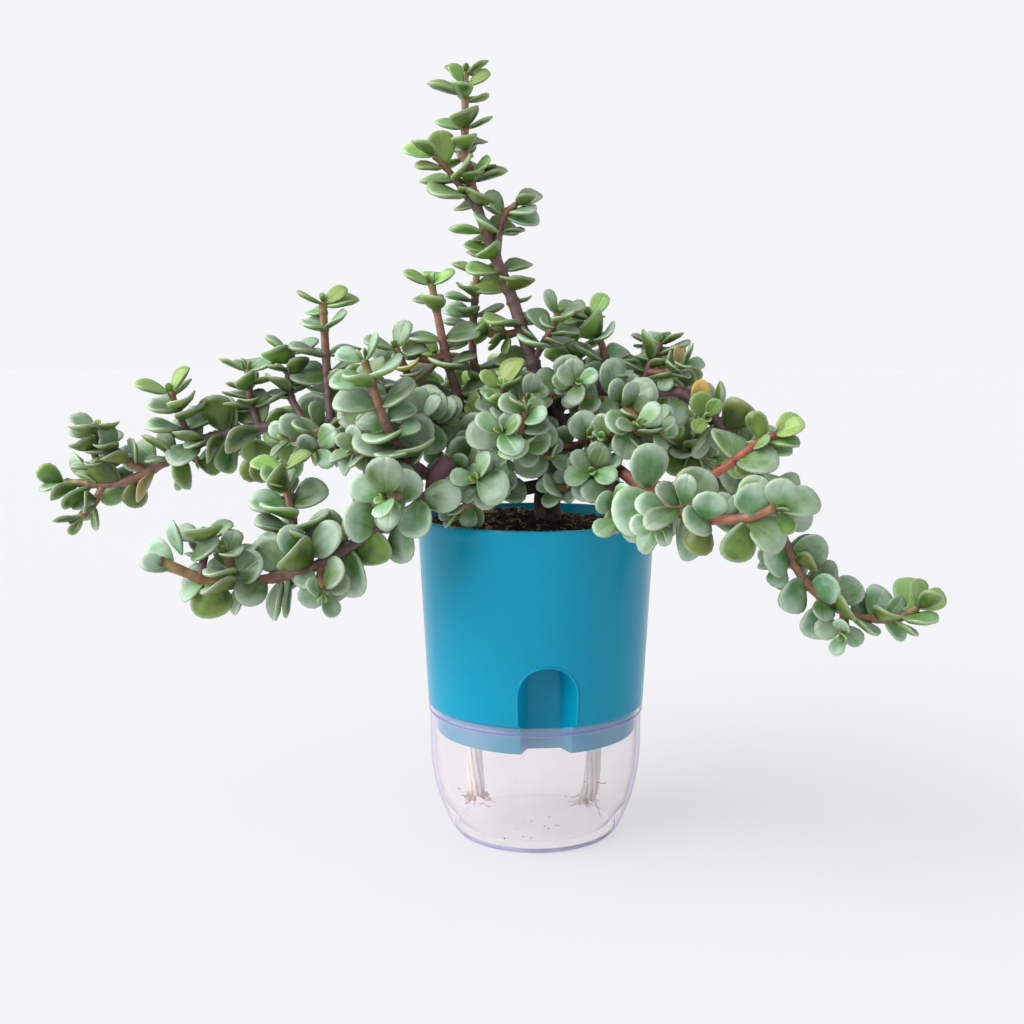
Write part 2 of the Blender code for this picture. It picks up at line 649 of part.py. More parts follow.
def light_at(place):
    # Leaves turn their upper faces up, and forwards or backwards out of the plant.
    lean = min(max((place.y - LEAF_MIDDLE) / (2 * LEAF_MIDDLE), -1.0), 1.0)
    return Vector((0, lean * LEAF_LEAN, 0.70))


def side_of(direction, turn):
    # A unit vector square to a stem's direction, turned round it.
    upright = abs(direction.z) > 0.85
    first = direction.cross(Vector((0, 1, 0)) if upright else Vector((0, 0, 1))).normalized()
    return Matrix.Rotation(turn, 3, direction) @ first


def grow_spurs(name, stem, count, bare, guards, draw):
    # Short side twigs, turned by the golden angle from one to the next.
    spurs = []
    room = stem.length - bare
    for index in range(count):
        distance = bare + room * (index + 0.6) / (count + 0.5)
        root, direction = stem.at(distance)
        length = draw.uniform(11, 18) * MM
        turn = index * math.radians(137.5) + draw.uniform(-0.4, 0.4)
        lift = 0.4 if index % 2 else -0.3               # every other spur hangs
        for attempt in range(LEAF_TRIES):
            side = side_of(direction, turn + attempt * 0.4)
            heading = side + direction * 0.35 + Vector((0, 0, lift))
            heading.normalize()
            reach = length * (1 - 0.03 * attempt)
            middle = root + heading * reach * 0.55
            tip = middle + (heading + Vector((0, 0, 0.35))).normalized() * reach * 0.5
            radii = (SPUR_RADIUS, SPUR_TIP_RADIUS)
            spur = Stem([root, middle, tip], radii, SPUR_STEP)
            guard = guard_of(tube(name, spur, STEM_CLEARANCE), name)
            if not any(guard.crosses(other) for other in guards if other.owner != name):
                spurs.append(spur)
                guards.append(guard)
                break
    return spurs


def leaves_along(stem, sizes, spacing, bare, twist, owner, guards, blade, draw):
    # Opposite pairs, each a quarter turn on from the last, from the tip down to the bare base.
    sphere, faces = blade
    leaves = []
    room = max(stem.length - bare, spacing)
    pairs = max(1, int(room / spacing) + 1)
    for pair in range(pairs):
        distance = stem.length - 0.7 * MM - pair * spacing * draw.uniform(0.93, 1.07)
        if distance < bare:
            break
        root, direction = stem.at(distance)
        age = min(1.0, pair / 3)                       # 0 at the tip, 1 when full grown
        size = sizes[1] + (sizes[0] - sizes[1]) * pair / pairs
        size *= 0.80 + 0.20 * age
        turn = twist + pair * math.radians(90 + 7) + draw.uniform(-0.2, 0.2)
        for hand in (0, math.pi):
            length = size * draw.uniform(0.88, 1.10) * MM
            width = length * (draw.uniform(0.66, 0.76) + 0.20 * age)
            tilt = math.radians(draw.uniform(38, 58) - 26 * age)
            cup = draw.uniform(0.02, 0.10)
            bend = draw.uniform(-0.10, 0.12)
            scatter = Vector(draw.uniform(-0.4, 0.4) for _ in range(3))
            for attempt in range(LEAF_TRIES):
                swing = (attempt + 1) // 2 * 0.16 * (-1) ** attempt
                side = side_of(direction, turn + hand + swing)
                heading = side * math.cos(tilt) + direction * math.sin(tilt)
                heading.y *= 0.75
                heading.z += 0.12
                heading.normalize()
                face = direction * 0.6 + light_at(root) + scatter * (1 + attempt * 0.15)
                shrink = 1 - 0.03 * attempt
                foot = root + side * stem.radius(distance) * FOOT_SHARE
                leaf = Leaf(foot, heading, face, length * shrink, width * shrink, cup, bend)
                guard = leaf.guard(sphere, faces, owner)
                if not any(guard.crosses(other) for other in guards):
                    leaves.append(leaf)
                    guards.append(guard)
                    break
    return leaves


def grow_plant():
    # Returns every stem, the spurs of each shoot and the leaves of each shoot.
    draw = random.Random(SEED)
    stems = grow_skeleton()
    wood = ["trunk"] + list(LIMBS)
    stem_guards = []
    for name, stem in stems.items():
        owner = "wood" if name in wood else name
        stem_guards.append(guard_of(tube(name, stem, STEM_CLEARANCE), owner))
    rim = RIM_RADIUS + STEM_CLEARANCE
    top = RIM_HEIGHT + STEM_CLEARANCE
    cup = [(0, 0), (rim, 0), (rim, top), (rim - 3 * MM, top), (rim - 3 * MM, SOIL_HEIGHT + MM),
           (0, SOIL_HEIGHT + MOUND_HEIGHT + MM)]
    stem_guards.append(guard_of(turned(cup), "pot"))

    spurs = {}
    for name, (_, _, _, _, _, _, bare, count) in SHOOTS.items():
        spurs[name] = grow_spurs(name, stems[name], count, bare * MM, stem_guards, draw)

    blade = unit_guard()
    leaf_guards = []
    leaves = {}
    for name, (_, _, _, _, sizes, spacing, bare, _) in SHOOTS.items():
        others = [guard for guard in stem_guards if guard.owner != name]
        guards = others + leaf_guards
        start = len(guards)
        grown = leaves_along(stems[name], sizes, spacing * MM, bare * MM, draw.uniform(-TWIST, TWIST),
                             name, guards, blade, draw)
        for spur in spurs[name]:
            small = (min(sizes) * 0.95, min(sizes) * 0.85)
            grown += leaves_along(spur, small, SPUR_SPACING, SPUR_BARE, draw.uniform(0, 3),
                                  name, guards, blade, draw)
        leaf_guards += guards[start:]
        leaves[name] = grown
    return stems, spurs, leaves


# Building the plant's solids

def stays_flat(vert, other, target):
    # Whether no face round the vertex turns over when the vertex moves to the target.
    for face in vert.link_faces:
        if other in face.verts:
            continue
        corners = [target if corner == vert else corner.co for corner in face.verts]
        moved = (corners[1] - corners[0]).cross(corners[2] - corners[0])
        if moved.length < 1e-12 or moved.normalized().dot(face.normal) < MAX_FOLD:
            return False
    return True


def close_short_edges(mesh, limit, kept_places):
    # Closes the short edges that a union leaves along its seams, and keeps the surface whole.
    short = [edge for edge in mesh.edges if edge.calc_length() < limit]
    for edge in sorted(short, key=lambda item: (item.calc_length(), item.index)):
        if not edge.is_valid or edge.calc_length() >= limit:
            continue
        first, second = edge.verts
        if any((vert.co - place).length < reach for vert in edge.verts
               for place, reach in kept_places):
            continue
        if len(neighbours(first) & neighbours(second)) != 2:
            continue
        for kept, moved in ((first, second), (second, first)):
            if stays_flat(moved, kept, kept.co):
                bmesh.ops.pointmerge(mesh, verts=[kept, moved], merge_co=kept.co)
                break
        mesh.normal_update()


def neighbours(vert):
    return {edge.other_vert(vert) for edge in vert.link_edges}


def crossing_corners(mesh):
    # The corners of faces that cut each other without sharing a corner.
    tree = BVHTree.FromBMesh(mesh)
    mesh.faces.ensure_lookup_table()
    corners = set()
    for here, there in tree.overlap(tree):
        first, second = set(mesh.faces[here].verts), set(mesh.faces[there].verts)
        if not first & second:
            corners |= first | second
    return corners


def thin_necks(mesh):
    # The corners of necks that are three edges round and nearly flat.
    corners = set()
    for edge in mesh.edges:
        first, second = edge.verts
        along = second.co - first.co
        tips = {corner for face in edge.link_faces for corner in face.verts}
        for third in (neighbours(first) & neighbours(second)) - tips:
            across = third.co - first.co
            longest = max(along.length, across.length, (third.co - second.co).length)
            if along.cross(across).length < MIN_NECK * longest:
                corners |= {first, second, third}
    return corners


def lighten(data, joints):
    # Closes short edges, but none near the joints with other pieces. Where that makes faces
    # cross or a neck too thin, it starts again and leaves the edges there.
    for limit in SHORT_EDGES:
        kept_places = list(joints)
        for _ in range(LIGHTEN_TRIES):
            mesh = bmesh.new()
            mesh.from_mesh(data)
            bmesh.ops.triangulate(mesh, faces=mesh.faces)
            close_short_edges(mesh, limit, kept_places)
            faults = crossing_corners(mesh) | thin_necks(mesh)
            kept_places += [(corner.co.copy(), KEPT_REACH) for corner in faults]
            if not faults:
                mesh.to_mesh(data)
            mesh.free()
            if not faults:
                return


def fuse(target, pieces):
    # Joins the pieces to the target with one union and takes them away.
    group = bpy.data.collections.new(target.name + "_pieces")
    bpy.context.scene.collection.children.link(group)
    for piece in pieces:
        bpy.context.scene.collection.objects.unlink(piece)
        group.objects.link(piece)
    boolean(target, "UNION", group)
    apply_modifiers(target)
    for piece in pieces:
        bpy.data.objects.remove(piece)
    bpy.data.collections.remove(group)


def make_trunk(stems):
    trunk = as_object("trunk", tube("trunk", stems["trunk"], resolution=2), "wood")
    limbs = [as_object(name, tube(name, stems[name], resolution=1)) for name in LIMBS]
    fuse(trunk, limbs)


def leaves_mesh(leaves, blade):
    sphere, faces = blade
    mesh = bmesh.new()
    for leaf in leaves:
        verts = [mesh.verts.new(point) for point in leaf.points(sphere)]
        for face in faces:
            mesh.faces.new([verts[index] for index in face])
    bmesh.ops.recalc_face_normals(mesh, faces=mesh.faces)
    return mesh


def joint_places(name, stems):
    # Where a shoot meets its parent and where its own shoots start, each with a reach.
    places = []
    for child, (parent, share, *_) in SHOOTS.items():
        if name in (child, parent):
            carrier = stems[parent]
            reach = math.hypot(carrier.radius(carrier.length * share), stems[child].radius(0))
            places.append((stems[child].path[0], reach + JOINT_MARGIN))
    return places


def make_shoot(name, stems, spurs, leaves, blade):
    shoot = as_object(name, tube(name, stems[name]), "leaf")
    parent = SHOOTS[name][0]
    resolution = 2 if parent == "trunk" else 1
    carrier = as_object("carrier", tube("carrier", stems[parent], GAP, resolution))
    boolean(shoot, "DIFFERENCE", carrier)
    apply_modifiers(shoot)
    bpy.data.objects.remove(carrier)
    pieces = [as_object("spur", tube("spur", spur, resolution=0)) for spur in spurs[name]]
    pieces.append(as_object("leaves", leaves_mesh(leaves[name], blade)))
    fuse(shoot, pieces)
    lighten(shoot.data, joint_places(name, stems))


def main():
    clear_scene()
    pot_axis = bpy.data.objects.new("pot_axis", None)
    bpy.context.scene.collection.objects.link(pot_axis)
    pot_axis.rotation_euler.z = POT_TURN
    make_reservoir(pot_axis)
    make_inner_pot(pot_axis)
    make_wicks(pot_axis)
    make_soil(pot_axis)

    stems, spurs, leaves = grow_plant()
    make_trunk(stems)
    blade = unit_leaf()
    for name in SHOOTS:
        make_shoot(name, stems, spurs, leaves, blade)
    bpy.context.view_layer.update()


main()
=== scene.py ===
import json
import math
import random

import bmesh
import bpy
from mathutils import Matrix, Vector, noise
from mathutils.bvhtree import BVHTree
from mathutils.kdtree import KDTree

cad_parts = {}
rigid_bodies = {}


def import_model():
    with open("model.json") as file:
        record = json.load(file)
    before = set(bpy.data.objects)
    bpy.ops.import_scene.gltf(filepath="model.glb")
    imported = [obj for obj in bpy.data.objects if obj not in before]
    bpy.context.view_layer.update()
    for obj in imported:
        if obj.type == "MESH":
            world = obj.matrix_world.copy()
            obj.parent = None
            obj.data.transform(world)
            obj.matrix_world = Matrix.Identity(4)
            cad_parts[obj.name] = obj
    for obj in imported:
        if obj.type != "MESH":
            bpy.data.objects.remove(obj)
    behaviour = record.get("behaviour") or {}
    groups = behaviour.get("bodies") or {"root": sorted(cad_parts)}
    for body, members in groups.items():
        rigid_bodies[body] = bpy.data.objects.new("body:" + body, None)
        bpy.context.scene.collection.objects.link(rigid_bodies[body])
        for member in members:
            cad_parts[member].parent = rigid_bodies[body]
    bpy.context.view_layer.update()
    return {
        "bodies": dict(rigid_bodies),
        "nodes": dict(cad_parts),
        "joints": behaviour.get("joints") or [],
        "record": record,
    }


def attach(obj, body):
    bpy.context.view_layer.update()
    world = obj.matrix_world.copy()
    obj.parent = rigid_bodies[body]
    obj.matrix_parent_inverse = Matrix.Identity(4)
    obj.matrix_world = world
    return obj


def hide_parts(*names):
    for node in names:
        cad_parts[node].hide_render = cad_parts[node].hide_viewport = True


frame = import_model()
mm = 0.001
noise.seed_set(7)                      # without it the noise vectors follow the clock


# Making objects

def dataOf(mesh, name):
    data = bpy.data.meshes.new(name)
    mesh.to_mesh(data)
    mesh.free()
    return data


def toObject(name, mesh, finishes=()):
    data = dataOf(mesh, name)
    for finish in finishes:
        data.materials.append(finish)
    data.shade_smooth()
    made = bpy.data.objects.new(name, data)
    bpy.context.scene.collection.objects.link(made)
    return made


def applyModifiers(item):
    bpy.context.view_layer.update()
    evaluated = item.evaluated_get(bpy.context.evaluated_depsgraph_get())
    item.data = bpy.data.meshes.new_from_object(evaluated)
    item.modifiers.clear()


def settle(piece, slotName, *nodes):
    # the piece rides on the one body and stands for the nodes it refines
    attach(piece, "root")
    if nodes:
        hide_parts(*nodes)
    return piece


def spinProfile(points, segments):
    # a wall drawn as (radius, height) points, turned round the upright axis
    mesh = bmesh.new()
    corners = [mesh.verts.new((radius, 0, height)) for radius, height in points]
    edges = [mesh.edges.new(pair) for pair in zip(corners, corners[1:])]
    bmesh.ops.spin(mesh, geom=corners + edges, cent=(0, 0, 0), axis=(0, 0, 1),
                   angle=math.tau, steps=segments, use_merge=True)
    bmesh.ops.remove_doubles(mesh, verts=mesh.verts, dist=1e-6)
    bmesh.ops.recalc_face_normals(mesh, faces=mesh.faces)
    return mesh


def takeIn(mesh, other):
    # the other mesh becomes part of the first
    data = dataOf(other, "bar")
    mesh.from_mesh(data)
    bpy.data.meshes.remove(data)


def vectorLayer(mesh, name):
    return mesh.verts.layers.float_vector.new(name)


def turnRound(mesh, degrees):
    bmesh.ops.rotate(mesh, verts=mesh.verts, cent=(0, 0, 0),
                     matrix=Matrix.Rotation(math.radians(degrees), 3, "Z"))


# Making materials

def addNode(tree, kind, inputs=None, **settings):
    made = tree.nodes.new(kind)
    for key, value in settings.items():
        setattr(made, key, value)
    for key, value in (inputs or {}).items():
        if isinstance(value, bpy.types.NodeSocket):
            tree.links.new(value, made.inputs[key])
        else:
            made.inputs[key].default_value = value
    return made


def wire(tree, node, **sockets):
    # links outputs to a node's inputs, where an underscore stands for a space
    for key, socket in sockets.items():
        tree.links.new(socket, node.inputs[key.replace("_", " ")])


def calculate(tree, operation, first, second=0.0, third=0.0, clamp=False):
    return addNode(tree, "ShaderNodeMath", {0: first, 1: second, 2: third},
                   operation=operation, use_clamp=clamp).outputs[0]


def smoothMask(tree, value, low, high):
    # 0 below low, 1 above high, and smooth in between
    return addNode(tree, "ShaderNodeMapRange",
                   {"Value": value, "From Min": low, "From Max": high},
                   interpolation_type="SMOOTHSTEP").outputs["Result"]


def remap(tree, value, low, high, newLow, newHigh):
    return addNode(tree, "ShaderNodeMapRange",
                   {"Value": value, "From Min": low, "From Max": high, "To Min": newLow,
                    "To Max": newHigh}).outputs["Result"]


def mixColour(tree, factor, first, second):
    return addNode(tree, "ShaderNodeMix", {0: factor, 6: first, 7: second},
                   data_type="RGBA").outputs[2]


def attributeVector(tree, name):
    read = addNode(tree, "ShaderNodeAttribute", attribute_name=name)
    return addNode(tree, "ShaderNodeSeparateXYZ", {0: read.outputs["Vector"]}).outputs


def newFinish(name, **constants):
    finish = bpy.data.materials.new(name)
    finish.use_nodes = True
    shader = finish.node_tree.nodes["Principled BSDF"]
    for key, value in constants.items():
        shader.inputs[key.replace("_", " ")].default_value = value
    return finish, finish.node_tree, shader


def rgb(red, green, blue):
    # a colour as seen in the photo, 0 to 255, made linear
    shares = [value / 255 for value in (red, green, blue)]
    return tuple(s / 12.92 if s <= 0.04045 else ((s + 0.055) / 1.055) ** 2.4 for s in shares) + (1,)


def makeMottleGroup():
    # soft patches and fine grain over a colour, on object coordinates
    tree = bpy.data.node_groups.new("mottle", "ShaderNodeTree")
    inputs = {"Color": (0.5, 0.5, 0.5, 1), "Patch Size": 120.0, "Patch Amount": 0.2,
              "Grain Size": 1500.0, "Grain Amount": 0.1}
    sides = [(name, "INPUT") for name in inputs]
    for name, side in sides + [("Color", "OUTPUT"), ("Patches", "OUTPUT"), ("Grain", "OUTPUT")]:
        kind = "NodeSocketColor" if name == "Color" else "NodeSocketFloat"
        made = tree.interface.new_socket(name=name, in_out=side, socket_type=kind)
        if side == "INPUT":
            made.default_value = inputs[name]
    given = tree.nodes.new("NodeGroupInput").outputs
    place = addNode(tree, "ShaderNodeTexCoord").outputs["Object"]
    fields, level = [], 0.5
    for name, detail in (("Patch", 3.0), ("Grain", 2.0)):
        field = addNode(tree, "ShaderNodeTexNoise", {"Vector": place, "Detail": detail,
                                                     "Scale": given[name + " Size"]})
        fields.append(field.outputs["Fac"])
        level = calculate(tree, "MULTIPLY_ADD", calculate(tree, "SUBTRACT", fields[-1], 0.5),
                          given[name + " Amount"], level)
    toned = addNode(tree, "ShaderNodeHueSaturation",
                    {"Color": given["Color"], "Value": calculate(tree, "MULTIPLY", level, 2.0)})
    wire(tree, tree.nodes.new("NodeGroupOutput"), Color=toned.outputs["Color"],
         Patches=fields[0], Grain=fields[1])
    return tree


mottleGroup = makeMottleGroup()


def mottled(tree, colour, patchSize, patchAmount, grainSize, grainAmount):
    return addNode(tree, "ShaderNodeGroup",
                   {"Color": colour, "Patch Size": patchSize, "Patch Amount": patchAmount,
                    "Grain Size": grainSize, "Grain Amount": grainAmount},
                   node_tree=mottleGroup).outputs


def bumped(tree, shader, height, distance, strength=1.0):
    bump = addNode(tree, "ShaderNodeBump", {"Height": height, "Distance": distance,
                                            "Strength": strength})
    wire(tree, shader, Normal=bump.outputs["Normal"])


# The plant's plan, the same as in the solids: points in millimetres

trunkPoints = [(5, 0, 108), (5, 0, 131), (5, 1, 141), (6, 2, 151), (7, 4, 164), (6, 4, 177),
               (4, 3, 186)]
trunkRadii = (6.6, 6.3, 5.9, 5.6, 5.8, 6.8, 5.2)

limbs = {
    "limb_left": ((3.5, 2.9, 2.4, 2.2),
                  [(6, 3, 161), (-7, 4, 167), (-24, 4, 171), (-45, 4, 174), (-66, 3, 176),
                   (-87, 2, 175), (-103, 0, 174)]),
    "limb_low_left": ((3.2, 2.5), [(5, 0, 149), (-11, -10, 147), (-27, -25, 150), (-40, -40, 149)]),
    "limb_right": ((3.4, 2.4), [(5, 4, 181), (17, 4, 184), (31, 2, 186), (48, 0, 187)]),
    "limb_low_right": ((3.0, 2.3), [(6, 2, 158), (20, -15, 162), (32, -35, 158)]),
    "limb_back": ((3.0, 2.3), [(7, 4, 168), (2, 22, 172), (-4, 45, 176)]),
    "limb_back_right": ((2.8, 2.2), [(6, 4, 174), (24, 24, 177), (44, 40, 173)]),
}

# Each shoot: its parent and the place along it, its points, its radii at base and tip,
# the length of its lowest and highest leaves, the spacing of the leaf pairs, the bare
# length at its base and how many twigs it has
shoots = {
    "leader": ("trunk", 1.0, [(-3, 0, 204), (-10, 2, 226), (-19, 0, 248), (-25, -2, 266), (-29, -3, 285),
        (-29, 0, 317)], (2.9, 1.0), (14, 11), 10.5, 8, 3),
    "leader_twig_left": ("leader", 0.58, [(-35, -5, 276), (-42, -8, 283)], (1.2, 0.9), (15, 13),
        6.5, 6, 0),
    "leader_twig_right": ("leader", 0.44, [(-14, -4, 258), (-8, -6, 264)], (1.2, 0.9), (14, 13),
        6.5, 6, 0),
    "leader_twig_low": ("leader", 0.12, [(6, -5, 213), (9, -7, 220)], (1.3, 1.0), (14, 12), 8.0, 6, 0),
    "riser_near": ("limb_left", 0.33, [(-33, 0, 186), (-38, -4, 205), (-43, -8, 232)], (1.9, 1.1),
        (15, 13), 11.0, 12, 1),
    "riser_mid": ("limb_left", 0.26, [(-23, 13, 186), (-27, 15, 205), (-25, 10, 238)], (1.9, 1.1),
        (15, 12), 9.5, 12, 1),
    "riser_far": ("limb_left", 0.85, [(-88, 2, 200), (-89, 2, 225)], (1.7, 1.2), (14, 13), 11.0, 8, 0),
    "far_left": ("limb_left", 1.0, [(-125, 2, 171), (-143, 4, 166), (-165, 8, 154), (-181, 10, 148),
        (-205, 14, 148)], (2.1, 1.3), (17, 16), 13.5, 14, 4),
    "far_left_riser_1": ("far_left", 0.42, [(-150, 1, 178), (-153, -1, 188)], (1.3, 1.0), (15, 15),
        8.0, 7, 0),
    "far_left_riser_2": ("far_left", 0.8, [(-189, 9, 160), (-187, 6, 171)], (1.3, 1.0), (15, 15),
        8.0, 6, 0),
    "far_left_riser_3": ("far_left", 0.14, [(-121, 5, 184), (-122, 6, 197)], (1.3, 1.0), (15, 14),
        8.0, 6, 0),
    "far_left_riser_4": ("limb_left", 0.95, [(-105, 8, 188), (-104, 11, 204)], (1.4, 1.0), (14, 13),
        8.5, 8, 0),
    "mid_left": ("limb_low_left", 0.86, [(-50, -42, 162), (-58, -48, 176), (-66, -50, 201)], (1.9, 1.2),
        (17, 14), 9.5, 10, 1),
    "lower_left": ("limb_low_left", 1.0, [(-51, -48, 142), (-64, -52, 135), (-79, -56, 126),
        (-91, -58, 121), (-118, -62, 117), (-137, -65, 124)], (2.2, 1.5), (19, 16), 13.0, 6, 3),
    "low_front": ("lower_left", 0.06, [(-47, -55, 150), (-57, -66, 150)], (1.6, 1.2), (19, 18), 9.0, 7, 0),
    "low_end_riser": ("lower_left", 0.9, [(-126, -61, 127), (-127, -58, 134)], (1.3, 1.0), (15, 14),
        7.0, 6, 0),
    "low_riser": ("lower_left", 0.55, [(-94, -48, 137), (-99, -42, 159)], (1.5, 1.0), (16, 14), 8.0, 8, 0),
    "left_front": ("limb_left", 0.66, [(-65, -14, 178), (-64, -30, 172)], (1.5, 1.1), (16, 15), 8.0, 6, 2),
    "left_hang": ("limb_left", 0.86, [(-88, -12, 172), (-90, -22, 164)], (1.5, 1.1), (16, 15), 8.0, 6, 2),
    "left_inner": ("limb_left", 0.42, [(-42, -14, 176), (-46, -30, 178)], (1.6, 1.1), (16, 15), 9.0, 6, 1),
    "left_top": ("limb_left", 0.52, [(-52, -2, 190), (-58, -6, 206)], (1.5, 1.1), (15, 14), 8.0, 7, 1),
    "left_back": ("limb_left", 0.72, [(-78, 26, 184), (-84, 50, 190)], (1.6, 1.1), (16, 15), 11.0, 8, 0),
    "left_low_back": ("limb_left", 0.92, [(-102, 26, 168), (-122, 46, 158), (-138, 60, 158)], (1.7, 1.2),
        (17, 16), 13, 9, 0),
    "centre_front": ("trunk", 0.66, [(0, -22, 168), (-8, -40, 168), (-14, -54, 174)], (2.0, 1.2), (16, 13),
        9.5, 8, 3),
    "centre_top": ("limb_left", 0.1, [(-10, -12, 178), (-14, -26, 190)], (1.6, 1.1), (15, 13), 8.0, 7, 2),
    "centre_left": ("limb_left", 0.21, [(-22, -16, 166), (-30, -36, 158)], (1.7, 1.2), (16, 14),
        8.0, 8, 2),
    "centre_low": ("limb_low_left", 0.42, [(-19, -33, 152), (-24, -51, 156)], (1.6, 1.2), (16, 14),
        8.0, 8, 1),
    "right_riser": ("limb_right", 0.45, [(29, 4, 201), (23, 8, 219)], (1.6, 1.1), (15, 14), 9.0, 7, 0),
    "right_top": ("limb_right", 0.88, [(48, 6, 198), (53, 10, 208)], (1.5, 1.1), (15, 13), 8.0, 6, 2),
    "right_front": ("limb_right", 0.62, [(34, -16, 185), (39, -34, 177)], (1.6, 1.1), (16, 14), 9.0, 6, 2),
    "right_crown": ("limb_right", 0.22, [(14, -12, 190), (16, -24, 192)], (1.5, 1.1), (15, 13), 8.0, 6, 1),
    "right": ("limb_right", 1.0, [(61, -2, 187), (70, -6, 179), (80, -10, 170), (92, -14, 156),
        (98, -20, 136), (103, -24, 122), (111, -28, 109), (126, -32, 99), (143, -34, 98), (152, -36, 103)],
        (2.3, 1.2), (17, 14), 13.0, 6, 4),
    "low_right": ("limb_low_right", 1.0, [(43, -60, 150), (54, -78, 145), (69, -90, 145), (81, -96, 150)],
        (2.0, 1.4), (20, 18), 11.5, 16, 1),
    "red_shoot": ("low_right", 0.16, [(52, -44, 152), (68, -40, 156), (84, -38, 167), (93, -38, 172)],
        (1.6, 1.2), (16, 16), 10.0, 34, 0),
    "right_mid": ("limb_low_right", 0.6, [(31, -27, 171), (38, -42, 176)], (1.6, 1.2), (16, 14),
        8.0, 8, 2),
    "right_inner": ("limb_low_right", 0.34, [(17, -20, 166), (20, -32, 171)], (1.5, 1.1), (15, 14),
        7.5, 5, 1),
    "right_under": ("limb_low_right", 0.5, [(23, -30, 157), (21, -43, 158)], (1.5, 1.1), (15, 14),
        7.5, 5, 1),
    "rim_spray": ("limb_low_right", 0.89, [(28, -46, 148), (30, -55, 140)], (1.4, 1.1), (16, 15),
        8.0, 6, 0),
    "back": ("limb_back", 1.0, [(-8, 68, 183), (-12, 92, 196)], (2.0, 1.2), (17, 14), 13, 8, 1),
    "back_left": ("limb_back", 0.62, [(-28, 46, 182), (-58, 68, 178), (-84, 82, 168)], (1.8, 1.2),
        (17, 16), 13.5, 10, 1),
    "back_right": ("limb_back_right", 1.0, [(62, 56, 166), (84, 70, 152), (98, 78, 142)], (1.9, 1.2),
        (17, 16), 13.5, 8, 1),
    "back_riser": ("limb_back_right", 0.55, [(22, 42, 194), (16, 54, 216)], (1.6, 1.1), (15, 13),
        9.5, 8, 0),
    "right_back": ("limb_right", 0.78, [(50, 24, 192), (64, 44, 194)], (1.6, 1.1), (16, 15), 10.5, 8, 0),
}


growing = {
    "seed": 11,
    "twist": 0.5,              # turn of the highest leaf pair, either way
    "scatter": 0.4,            # how far a leaf's face strays
    "lift": 0.12,              # how much every leaf turns up
    "footDepth": 0.2,          # of the stem's radius, from its middle to a leaf's foot
    "stemPull": 0.6,           # how much a leaf faces along its stem
    "leafThickness": 0.165,    # of a leaf's length
    "leastThickness": 1.7,     # millimetres
    "twigRadii": (1.35, 1.2),  # millimetres, at base and tip
    "twigSpacing": 7.5,
    "twigBare": 4.5,
    "twigLength": (11, 18),
    "gapChance": 0.8,          # how often a gap between the pairs gets a smaller leaf
    "gapStep": (2.2, 3.6),
    "gapClearance": 0.12,
    "gapTries": 12,
    "gapReach": 22,            # millimetres round a stem in which other pieces count
    "thinShoots": {"leader": 0.35, "right": 0.5, "lower_left": 0.4, "far_left": 0.75,
                   "red_shoot": 0.0, "riser_near": 0.2, "riser_mid": 0.3, "riser_far": 0.3,
                   "low_right": 0.3, "leader_twig_right": 0.5, "leader_twig_left": 0.4},
}
stemClearance = 0.45 * mm
leafClearance = 0.5 * mm
leafTries = 16
leafSides = 7
rimRadius = 50.8 * mm
rimHeight = 135.2 * mm
soilLevel = 129.0 * mm
goldenAngle = math.radians(137.5)
burlView = ((-3, 17), (-42, 0), (158, 190))    # millimetres, kept clear before the burl
soilViewSize, soilViewPlace = Vector((64, 62, 15)), Vector((-8, -25, 137))


class Stem:
    # a smooth stem through the plan's points, thinner towards its tip

    def __init__(self, points, radii, step=11):
        self.points = points
        self.path = smoothPath(points, step * mm)
        self.reach = reachAlong(self.path)
        self.length = self.reach[-1]
        self.radii = [radius * mm for radius in radii]
        self.joints = []               # distances of the leaf pairs

    def at(self, distance):
        distance = min(max(distance, 0.0), self.length)
        index = 0
        while index < len(self.reach) - 2 and self.reach[index + 1] < distance:
            index += 1
        start, end = self.path[index], self.path[index + 1]
        share = (distance - self.reach[index]) / (self.reach[index + 1] - self.reach[index])
        return start.lerp(end, share), (end - start).normalized()

    def radius(self, distance):
        share = min(max(distance / self.length, 0.0), 1.0) * (len(self.radii) - 1)
        index = min(int(share), len(self.radii) - 2)
        low, high = self.radii[index:index + 2]
        return low + (high - low) * (share - index)


def reachAlong(path):
    reach = [0.0]
    for here, there in zip(path, path[1:]):
        reach.append(reach[-1] + (there - here).length)
    return reach


def smoothPath(points, step):
    # a Catmull-Rom curve through the points, one step apart
    ends = [points[0] * 2 - points[1]] + points + [points[-1] * 2 - points[-2]]
    path = [points[0].copy()]
    for a, b, c, d in zip(ends, ends[1:], ends[2:], ends[3:]):
        count = max(1, round((c - b).length / step))
        for index in range(1, count + 1):
            t = index / count
            path.append(0.5 * (2 * b + (c - a) * t + (2 * a - 5 * b + 4 * c - d) * t ** 2
                               + (3 * b - a - 3 * c + d) * t ** 3))
    return path


